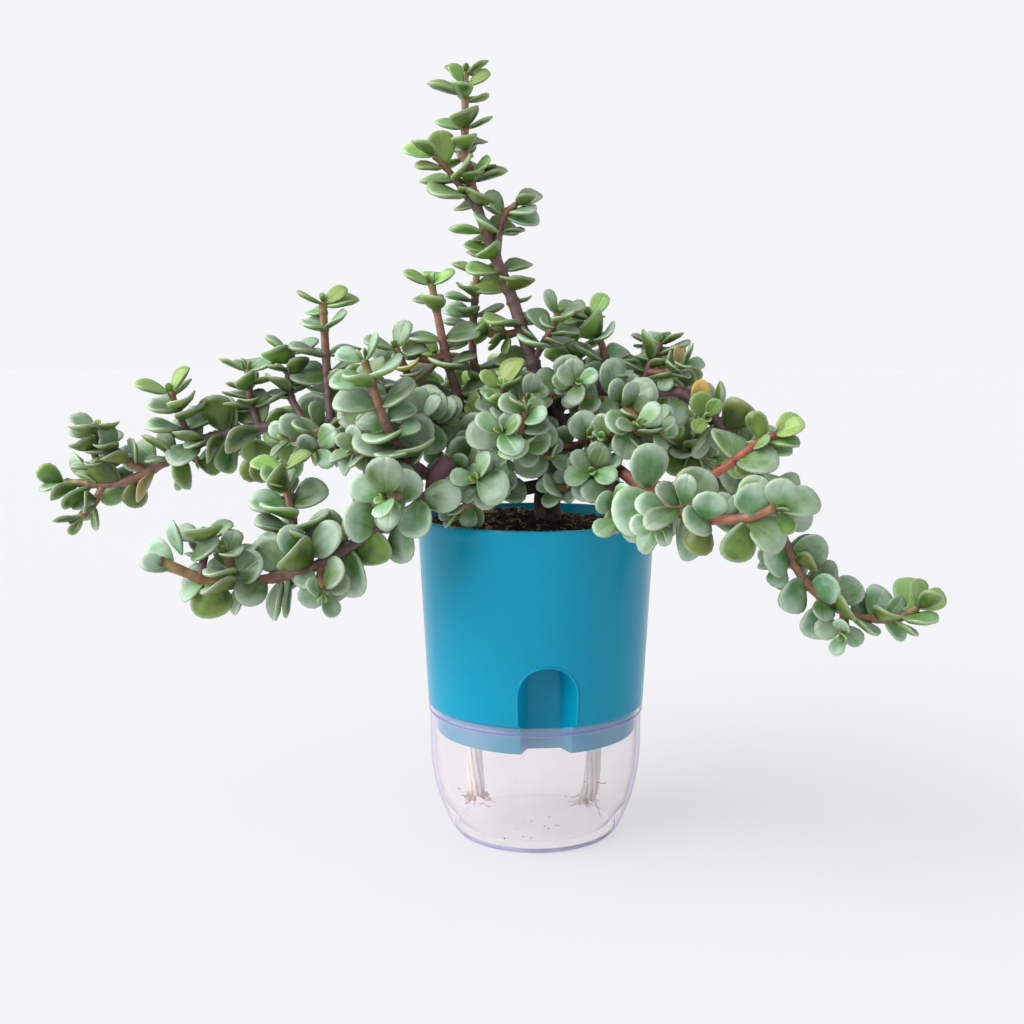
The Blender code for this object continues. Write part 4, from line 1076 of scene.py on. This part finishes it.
def recessHalf(depth):
    return potLook["recessHalf"] * mm + recessSlope * (depth - potLook["mouthDepth"] * mm)


def archOutline(halfWidth, top, depth):
    steps, bottom = 20, skirtBottom - 10 * mm
    points = [(-halfWidth, -depth, bottom)]
    for step in range(steps + 1):
        angle = math.pi * (1 - step / steps)
        points.append((halfWidth * math.cos(angle), -depth,
                       archSpring + (top - archSpring) * math.sin(angle)))
    points.append((halfWidth, -depth, bottom))
    return points


def recessForm(growth):
    # the channel's space, an arch lofted from the front to the back panel
    sideways = growth * math.hypot(1, recessSlope)
    mesh = bmesh.new()
    rings = []
    for depth in (rimRadius + 5 * mm, potLook["panelDepth"] * mm - growth):
        corners = [mesh.verts.new(point) for point in
                   archOutline(recessHalf(depth) + sideways, potLook["recessTop"] * mm + growth,
                               depth)]
        rings.append([mesh.edges.new(pair) for pair in zip(corners, corners[1:] + corners[:1])])
        mesh.faces.new(corners)
    bmesh.ops.bridge_loops(mesh, edges=rings[0] + rings[1])
    bmesh.ops.triangulate(mesh, faces=mesh.faces)
    bmesh.ops.recalc_face_normals(mesh, faces=mesh.faces)
    return mesh


def cut(target, mesh):
    turnRound(mesh, potLook["turn"])
    cutter = toObject("cutter", mesh)
    modifier = target.modifiers.new("cut", "BOOLEAN")
    modifier.object = cutter
    modifier.operation = "DIFFERENCE"
    applyModifiers(target)
    bpy.data.objects.remove(cutter)


def rod(radius, bottom, top, place, segments):
    mesh = bmesh.new()
    bmesh.ops.create_cone(mesh, cap_ends=True, segments=segments, radius1=radius,
                          radius2=radius, depth=top - bottom)
    bmesh.ops.translate(mesh, verts=mesh.verts, vec=(*place, (top + bottom) / 2))
    return mesh


def makePotFinish():
    finish, tree, shader = newFinish("turquoise plastic", IOR=1.35, Specular_IOR_Level=0.35,
                                     Subsurface_Weight=0.25, Subsurface_Scale=0.0025)
    used = mottled(tree, potLook["colour"], 14.0, 0.10, 1400.0, 0.05)
    wire(tree, shader, Base_Color=used["Color"],
         Roughness=remap(tree, used["Patches"], 0.3, 0.7, 0.16, 0.28))
    bumped(tree, shader, used["Grain"], 0.0001, 0.25)
    return finish


def makeInnerPot(finish):
    wall = potLook["wall"] * mm
    flare = [(wallRadius(rimHeight - drop * mm) + rimStep * out, rimHeight - drop * mm)
             for drop, out in ((12, 0), (8, 0.06), (6, 0.2), (4.5, 0.45), (3.4, 0.75), (2.4, 0.95),
                               (1.4, 1.0))]
    profile = [(0, skirtBottom), (skirtRadius - mm, skirtBottom),
               (skirtRadius - 0.3 * mm, skirtBottom + 0.3 * mm), (skirtRadius, skirtBottom + mm),
               (skirtRadius, shoulderHeight), (shoulderRadius - 0.5 * mm, shoulderHeight),
               (shoulderRadius, shoulderHeight + 0.5 * mm)] + flare
    profile += [(rimRadius, rimHeight - 0.5 * mm), (rimRadius - 0.2 * mm, rimHeight - 0.12 * mm),
                (rimRadius - 0.6 * mm, rimHeight), (0, rimHeight)]
    pot = toObject("pot_turquoise", spinProfile(profile, potLook["segments"]), [finish])
    cut(pot, recessForm(0))
    step = shoulderHeight + wall
    space = [(0, skirtBottom + wall), (skirtRadius - wall, skirtBottom + wall),
             (skirtRadius - wall, shoulderHeight), (wallRadius(step) - wall, step + 3 * mm),
             (rimRadius - rimStep - wall, rimHeight - 0.4 * mm),
             (rimRadius - 0.2 * mm - wall, rimHeight + mm), (0, rimHeight + mm)]
    hollow = toObject("hollow", spinProfile(space, potLook["segments"]))
    cut(hollow, recessForm(wall))
    mesh = bmesh.new()
    mesh.from_mesh(hollow.data)
    turnRound(mesh, -potLook["turn"])
    bpy.data.objects.remove(hollow)
    cut(pot, mesh)
    for side in (-26, 26):             # the wicks' holes
        cut(pot, rod(3.2 * mm, skirtBottom - mm, skirtBottom + 4 * mm, (side * mm, 0), 24))
    pot.data.shade_smooth()
    pot.data.set_sharp_from_angle(angle=math.radians(32))
    settle(pot, "pot_plastic", "inner_pot")

    # a thin raised edge round the recess's mouth
    arch, sides = 32, 8
    places = [(-1, shoulderHeight + (archSpring - shoulderHeight) * share / sides)
              for share in range(sides)]
    for turn in (math.pi * step / arch for step in range(arch + 1)):
        places.append((-math.cos(turn), archSpring + potLook["recessHalf"] * mm * math.sin(turn)))
    places += [(1, height) for _, height in places[sides - 1::-1]]
    path = []
    for across, height in places:
        radius = wallRadius(height)
        depth = radius
        for _ in range(6):             # settles where the recess meets the round wall
            x = across * recessHalf(depth)
            depth = math.sqrt(radius ** 2 - x ** 2)
        outward = Vector((x, -depth, 0)).normalized()
        path.append(Vector((x, -depth, height)) - outward * 0.12 * mm)
    bead = sweep(path, [potLook["bead"] * mm] * len(path), 3)
    turnRound(bead, potLook["turn"])
    settle(toObject("recess_edge", bead, [finish]), "pot_plastic")


# Reservoir

reservoirLook = {
    "segments": 128,
    "wall": 1.5,
    "specks": 34,
    "tint": rgb(246, 224, 230),
    "edgeTint": rgb(136, 124, 180),
    "veil": 0.11,
    "edgeVeil": 0.62,
}


def barrelRadius(height):
    drop = max(0.0, 1 - height / (40.0 * mm)) ** 2.2
    return 45.2 * mm - 10.0 * mm * drop


def makeClearFinish():
    # thin clear plastic: four walls lie behind each other, so each is only a faint veil
    finish, tree, shader = newFinish("clear plastic", Roughness=0.08, IOR=1.45)
    used = mottled(tree, reservoirLook["tint"], 45.0, 0.10, 900.0, 0.06)
    facing = addNode(tree, "ShaderNodeLayerWeight", {"Blend": 0.5}).outputs["Facing"]
    upright = addNode(tree, "ShaderNodeTexCoord").outputs["Normal"]
    upright = addNode(tree, "ShaderNodeSeparateXYZ", {0: upright}).outputs["Z"]
    level = smoothMask(tree, calculate(tree, "ABSOLUTE", upright), 0.9, 0.6)
    grazing = calculate(tree, "MULTIPLY", smoothMask(tree, facing, 0.62, 0.99), level)
    outside = calculate(tree, "SUBTRACT", 1.0,
                        addNode(tree, "ShaderNodeNewGeometry").outputs["Backfacing"])
    ringed = calculate(tree, "MULTIPLY", attributeVector(tree, "clearPlace")[0], outside)
    grazing = calculate(tree, "MAXIMUM", grazing, ringed)
    tinted = mixColour(tree, grazing, used["Color"], reservoirLook["edgeTint"])
    veil = calculate(tree, "MULTIPLY_ADD", grazing, reservoirLook["edgeVeil"],
                     reservoirLook["veil"])
    haze = remap(tree, used["Patches"], 0.35, 0.7, 0.8, 1.3)
    wire(tree, shader, Base_Color=tinted,
         Alpha=calculate(tree, "MULTIPLY", veil, haze, clamp=True),
         Roughness=remap(tree, used["Patches"], 0.3, 0.7, 0.04, 0.14))
    return finish


def makeReservoir(finish):
    wall = reservoirLook["wall"] * mm
    heights = [1.4, 3.2, 5, 7.5, 10, 13, 16, 20, 24, 28, 33, 38, 44]
    outer = [(0, 0.6), (30.5, 0.6), (31.2, 0.2), (32.0, 0.0), (33.6, 0.0), (34.4, 0.25),
             (34.85, 0.75), (34.9, 1.3), (34.55, 1.7), (34.45, 2.0), (34.8, 2.35)]
    outer += [(barrelRadius(height * mm) / mm, height) for height in heights[1:]]
    outer += [(45.2, 52.2), (45.25, 52.7), (45.6, 52.95), (45.85, 53.3), (45.85, 53.6),
              (45.6, 53.9), (45.5, 54.2), (45.7, 54.5), (45.9, 54.8), (45.9, 55.2), (45.65, 55.6),
              (45.2, 55.7)]
    inner = [(44.2, 55.7), (43.8, 55.4), (43.7, 55.0)]
    inner += [((barrelRadius(height * mm) - wall) / mm, height) for height in heights[:4:-1]]
    inner += [(34.2, 6.6), (33.2, 4.7), (31.4, 3.5), (28.5, 2.8), (24, 2.5), (0, 2.4)]
    outer, inner = ([(radius * mm, height * mm) for radius, height in side]
                    for side in (outer, inner))
    cup = spinProfile(outer + inner, reservoirLook["segments"])
    layer = vectorLayer(cup, "clearPlace")
    for vert in cup.verts:
        radius, height = vert.co.xy.length / mm, vert.co.z / mm
        lip = radius > 45.1 and 52.6 < height < 54.0
        foot = radius > 31.5 and height < 2.1
        vert[layer] = (1.0 if lip or foot else 0.0, 0, 0)
    piece = toObject("reservoir_clear", cup, [finish])
    piece.data.set_sharp_from_angle(angle=math.radians(50))
    settle(piece, "clear_plastic", "reservoir")


def makeSpecks(finish):
    # bits of soil and fine roots that came through to the reservoir
    draw = random.Random(17)
    mesh = bmesh.new()
    layer = vectorLayer(mesh, "soilTone")
    for _ in range(reservoirLook["specks"]):
        turn = draw.uniform(-2.9, 0.2)
        height = draw.uniform(4, 34) * mm
        radius = barrelRadius(height) - 2.0 * mm
        if draw.random() < 0.5:
            height, radius = 2.7 * mm, draw.uniform(5, 29) * mm
        size = draw.uniform(0.16, 0.34) * mm
        made = bmesh.ops.create_icosphere(mesh, subdivisions=1, radius=size)
        spot = Vector((radius * math.cos(turn), radius * math.sin(turn), height))
        bmesh.ops.translate(mesh, verts=made["verts"], vec=spot)
        for vert in made["verts"]:
            vert.co += noise.noise_vector(vert.co * 2500) * size * 0.6
    for foot, length in (((26, -4, 11), 9), ((30, -4, 20), 6), ((24, -3, 9), 7), ((-24, -3, 10), 6)):
        spot, heading = Vector(foot) * mm, Vector((0.4, -0.6, -0.3))
        points = [spot.copy()]
        for _ in range(length):
            heading += noise.noise_vector(spot * 1300) * 1.6
            spot += heading.normalized() * 0.9 * mm
            spot.z = max(spot.z, 3.0 * mm)
            points.append(spot.copy())
        takeIn(mesh, sweep(smoothPath(points, 0.5 * mm), [0.14 * mm] * 60, 0))
    for vert in mesh.verts:
        vert[layer] = (0.25, 0, 0)
    bmesh.ops.recalc_face_normals(mesh, faces=mesh.faces)
    settle(toObject("reservoir_specks", mesh, [finish]), "potting_soil")


# Wicks

wickLook = {
    "strands": 9,
    "turns": 0.3,
    "fibres": 60,
    "colour": rgb(238, 229, 222),
    "dirt": rgb(152, 116, 88),
}


def makeCottonFinish():
    finish, tree, shader = newFinish("cotton", Roughness=0.95, Sheen_Weight=0.3)
    read = attributeVector(tree, "wickPlace")
    used = mottled(tree, wickLook["colour"], 260.0, 0.2, 2600.0, 0.3)
    soiled = calculate(tree, "MULTIPLY", smoothMask(tree, used["Patches"], 0.36, 0.56), read[0])
    toned = mixColour(tree, soiled, used["Color"], wickLook["dirt"])
    wire(tree, shader, Base_Color=toned)
    bumped(tree, shader, used["Grain"], 0.0003, 0.8)
    return finish


def makeWick(side, bends, finish, draw):
    # loose strands round a core, with a frayed lower end
    middle = smoothPath([Vector(point) * mm for point in bends], 1.2 * mm)
    reach = reachAlong(middle)
    mesh = bmesh.new()
    layer = vectorLayer(mesh, "wickPlace")
    for strand in range(wickLook["strands"] + 1):
        core = strand == wickLook["strands"]
        phase = math.tau * strand / wickLook["strands"]
        points, radii = [], []
        for spot, distance in zip(middle, reach):
            share = distance / reach[-1]
            turn = phase + share * wickLook["turns"] * math.tau
            wave = 1 + 0.10 * noise.noise(Vector((phase, share * 9, 0)))
            offset = 0.0 if core else 2.35 * wave * (1 + 0.25 * share ** 3)
            points.append(spot + Vector((math.cos(turn), math.sin(turn), 0)) * offset * mm)
            radii.append((2.85 if core else 0.9) * mm)
        takeIn(mesh, sweep(points, radii, 2))
    end, onward = middle[-1], (middle[-1] - middle[-4]).normalized()
    for _ in range(wickLook["fibres"]):
        out = Vector((draw.uniform(-1, 1), draw.uniform(-1, 1), 0))
        start = end - onward * draw.uniform(0, 3) * mm + out * 1.9 * mm
        bend = start + (onward * 1.2 + out * 0.9) * draw.uniform(1.5, 2.8) * mm
        tip = bend + (out * 1.3 + Vector((0, 0, -0.2))) * draw.uniform(0.8, 3.0) * mm
        tip.z = max(tip.z, 3.2 * mm)
        path = smoothPath([start, bend, tip], 1.0 * mm)
        takeIn(mesh, sweep(path, [draw.uniform(0.15, 0.40) * mm] * len(path), 0))
    for vert in mesh.verts:
        low = 1 - min(1.0, max(0.0, (vert.co.z / mm - 12) / 9))
        vert[layer] = (low if side == "left" else low * 0.4, 0, 0)
    turnRound(mesh, potLook["turn"])
    settle(toObject("cotton_wick_" + side, mesh, [finish]), "wick_cotton", "wick_" + side)


# Soil

soilLook = {
    "black": rgb(38, 32, 30),
    "brown": rgb(80, 60, 48),
    "tan": rgb(200, 164, 130),
    "crumbs": 1300,
    "fibres": 70,
}


def soilHeight(x, y):
    across = (x + 10 * mm) ** 2 + (y - 10 * mm) ** 2
    mound = 6 * mm * math.exp(-across / (2 * (22 * mm) ** 2))
    ripple = 0.5 * mm * math.sin(x / (5 * mm)) * math.cos(y / (6 * mm))
    return soilLevel + mound + ripple


def makeSoilFinish():
    finish, tree, shader = newFinish("potting soil", Roughness=0.95)
    read = attributeVector(tree, "soilTone")
    used = mottled(tree, soilLook["black"], 260.0, 0.9, 1500.0, 0.9)
    brown = mixColour(tree, smoothMask(tree, used["Grain"], 0.55, 0.68), used["Color"],
                      soilLook["brown"])
    toned = mixColour(tree, read[0], brown, soilLook["tan"])
    wire(tree, shader, Base_Color=toned)
    bumped(tree, shader, used["Grain"], 0.0008, 1.0)
    return finish


def makeSoil(finish):
    draw = random.Random(5)
    edge = wallRadius(soilLevel) - 2.1 * mm
    rings = [(edge * share, soilLevel) for share in
             [1, 0.985, 0.95, 0.9, 0.84, 0.77, 0.7, 0.62, 0.54, 0.46, 0.38, 0.3, 0.22, 0.14, 0.07]]
    mesh = spinProfile([(0, soilLevel - 5 * mm), (edge, soilLevel - 5 * mm)] + rings
                       + [(0, soilLevel)], 72)
    layer = vectorLayer(mesh, "soilTone")
    for vert in mesh.verts:
        x, y, z = vert.co
        if z > soilLevel - 0.01 * mm:
            lift = 0.8 + noise.noise(Vector((x, y, 0)) * 260) * 0.9
            lift += noise.noise(Vector((x, y, 5)) * 900) * 0.6
            near = min(1.0, (edge - math.hypot(x, y)) / (4 * mm))
            vert.co.z = soilHeight(x, y) + lift * mm * near
    for _ in range(soilLook["crumbs"]):
        radius = edge * math.sqrt(draw.random()) * 0.985
        turn = draw.uniform(0, math.tau)
        x, y = radius * math.cos(turn), radius * math.sin(turn)
        size = draw.uniform(0.35, 1.1) * mm
        if draw.random() < 0.06:
            size *= 1.8
        tone = draw.uniform(0.35, 1.0) if draw.random() < 0.36 else draw.uniform(0, 0.12)
        made = bmesh.ops.create_icosphere(mesh, subdivisions=1, radius=size)
        lowest = soilHeight(x, y) + 0.9 * mm + size * 0.2
        move = (Matrix.Translation((x, y, lowest))
                @ Matrix.Rotation(draw.uniform(0, math.tau), 4, "Z")
                @ Matrix.Rotation(draw.uniform(-0.6, 0.6), 4, "X")
                @ Matrix.Diagonal((1, draw.uniform(0.5, 0.9), draw.uniform(0.4, 0.8), 1)))
        bmesh.ops.transform(mesh, matrix=move, verts=made["verts"])
        for vert in made["verts"]:
            vert.co += noise.noise_vector(vert.co * 900) * size * 0.25
            vert[layer] = (tone, 0, 0)
    for _ in range(soilLook["fibres"]):
        radius = edge * math.sqrt(draw.random()) * 0.93
        turn = draw.uniform(0, math.tau)
        spot = Vector((radius * math.cos(turn), radius * math.sin(turn), 0))
        heading = Vector((draw.uniform(-1, 1), draw.uniform(-1, 1), 0)).normalized()
        points = []
        for _ in range(5):
            spot += (heading + noise.noise_vector(spot * 600)) * draw.uniform(0.8, 1.8) * mm
            if spot.xy.length > edge * 0.97:
                break
            height = soilHeight(spot.x, spot.y) + draw.uniform(1.2, 2.2) * mm
            points.append(Vector((spot.x, spot.y, height)))
        if len(points) > 2:
            path = smoothPath(points, 1.2 * mm)
            bar = sweep(path, [draw.uniform(0.12, 0.28) * mm] * len(path), 0)
            marks = vectorLayer(bar, "soilTone")
            for vert in bar.verts:
                vert[marks] = (0.9, 0, 0)
            takeIn(mesh, bar)
    bmesh.ops.recalc_face_normals(mesh, faces=mesh.faces)
    settle(toObject("soil_crust", mesh, [finish]), "potting_soil")


# Floor, light and camera

studio = {
    "background": (0.91, 0.915, 0.935),    # what the camera sees behind the plant
    "floor": 0.30,
    "floorGlow": 0.55,                     # lifts the floor's shadows, as in a white studio
    "skyLight": 0.44,
    "keyLight": 4.3,
    "fillLight": 0.2,
    "rightBox": 1.0,                       # watts
}


def addLamp(name, light, place, aim):
    lamp = bpy.data.objects.new(name, light)
    turned = (aim - place).to_track_quat("-Z", "Y")
    lamp.matrix_world = Matrix.Translation(place) @ turned.to_matrix().to_4x4()
    bpy.context.scene.collection.objects.link(lamp)
    return lamp


def makeStudio():
    finish, tree, shader = newFinish("pale floor", Roughness=0.9, Specular_IOR_Level=0.1,
                                     Emission_Color=(1, 1, 1.02, 1),
                                     Emission_Strength=studio["floorGlow"])
    shade = studio["floor"]
    used = mottled(tree, (shade, shade, shade * 1.03, 1), 3.0, 0.01, 60.0, 0.01)
    wire(tree, shader, Base_Color=used["Color"])
    mesh = bmesh.new()
    bmesh.ops.create_grid(mesh, x_segments=1, y_segments=1, size=40)
    toObject("floor", mesh, [finish])

    # the sky lights the plant less than it brightens the view
    world = bpy.data.worlds.new("studio")
    world.use_nodes = True
    tree = world.node_tree
    rays = addNode(tree, "ShaderNodeLightPath").outputs
    seen = calculate(tree, "MAXIMUM", rays["Is Camera Ray"], rays["Is Transmission Ray"])
    level = studio["skyLight"]
    sky = mixColour(tree, seen, (level, level * 1.01, level * 1.04, 1), (*studio["background"], 1))
    wire(tree, tree.nodes["Background"], Color=sky)
    bpy.context.scene.world = world
    for name, place, angle, power in (("key", (-1.0, -0.32, 0.66), 70, studio["keyLight"]),
                                      ("fill", (0.9, -0.8, 0.5), 90, studio["fillLight"])):
        light = bpy.data.lights.new(name, "SUN")
        light.angle = math.radians(angle)
        light.energy = power
        addLamp(name, light, Vector(place), Vector())

    # a tall soft box lays a streak of light on the pot's right edge
    light = bpy.data.lights.new("right box", "AREA")
    light.shape = "RECTANGLE"
    light.size, light.size_y = 0.1, 0.7
    light.energy = studio["rightBox"]
    lamp = addLamp("right box", light, Vector((0.8, -0.05, 0.3)), Vector((0, 0, 0.12)))
    lamp.visible_diffuse = False
    lamp.visible_camera = False

    camera = bpy.data.cameras.new("camera")
    camera.lens = 43.25
    camera.sensor_width = 36
    camera.clip_start = 0.01
    holder = bpy.data.objects.new("camera", camera)
    bpy.context.scene.collection.objects.link(holder)
    holder.matrix_world = (Matrix.Translation(Vector((-10.11, -517.95, 199.25)) * mm)
                           @ Matrix.Rotation(math.pi / 2 - 0.12, 4, "X"))
    bpy.context.scene.camera = holder
    bpy.context.scene.view_settings.view_transform = "Standard"


stems, twigs, leaves = growPlant()
print("plan:", sum(len(grown) for grown in leaves.values()), "leaves")
makeShoots(stems, twigs, leaves, [makeLeafFinish(), makeStemFinish()])
print("shoots made")
makeTrunk(stems, makeBarkFinish())
print("trunk made")
makeInnerPot(makePotFinish())
makeReservoir(makeClearFinish())
print("pot and reservoir made")
cotton = makeCottonFinish()
makeWick("left", [(-26, 0, 62), (-26, 0, 44), (-26.3, 0, 30), (-25.8, 0, 20), (-25.8, 0, 14)],
         cotton, random.Random(8))
makeWick("right", [(26, 0, 62), (26, 0, 44), (25.6, 0, 32), (25.0, -0.5, 22), (24.0, -1, 15),
                   (22.4, -1.8, 11.6)], cotton, random.Random(9))
soilFinish = makeSoilFinish()
makeSpecks(soilFinish)
makeSoil(soilFinish)
frame["nodes"]["soil"].data.materials.clear()
frame["nodes"]["soil"].data.materials.append(soilFinish)
print("wicks and soil made")
makeStudio()
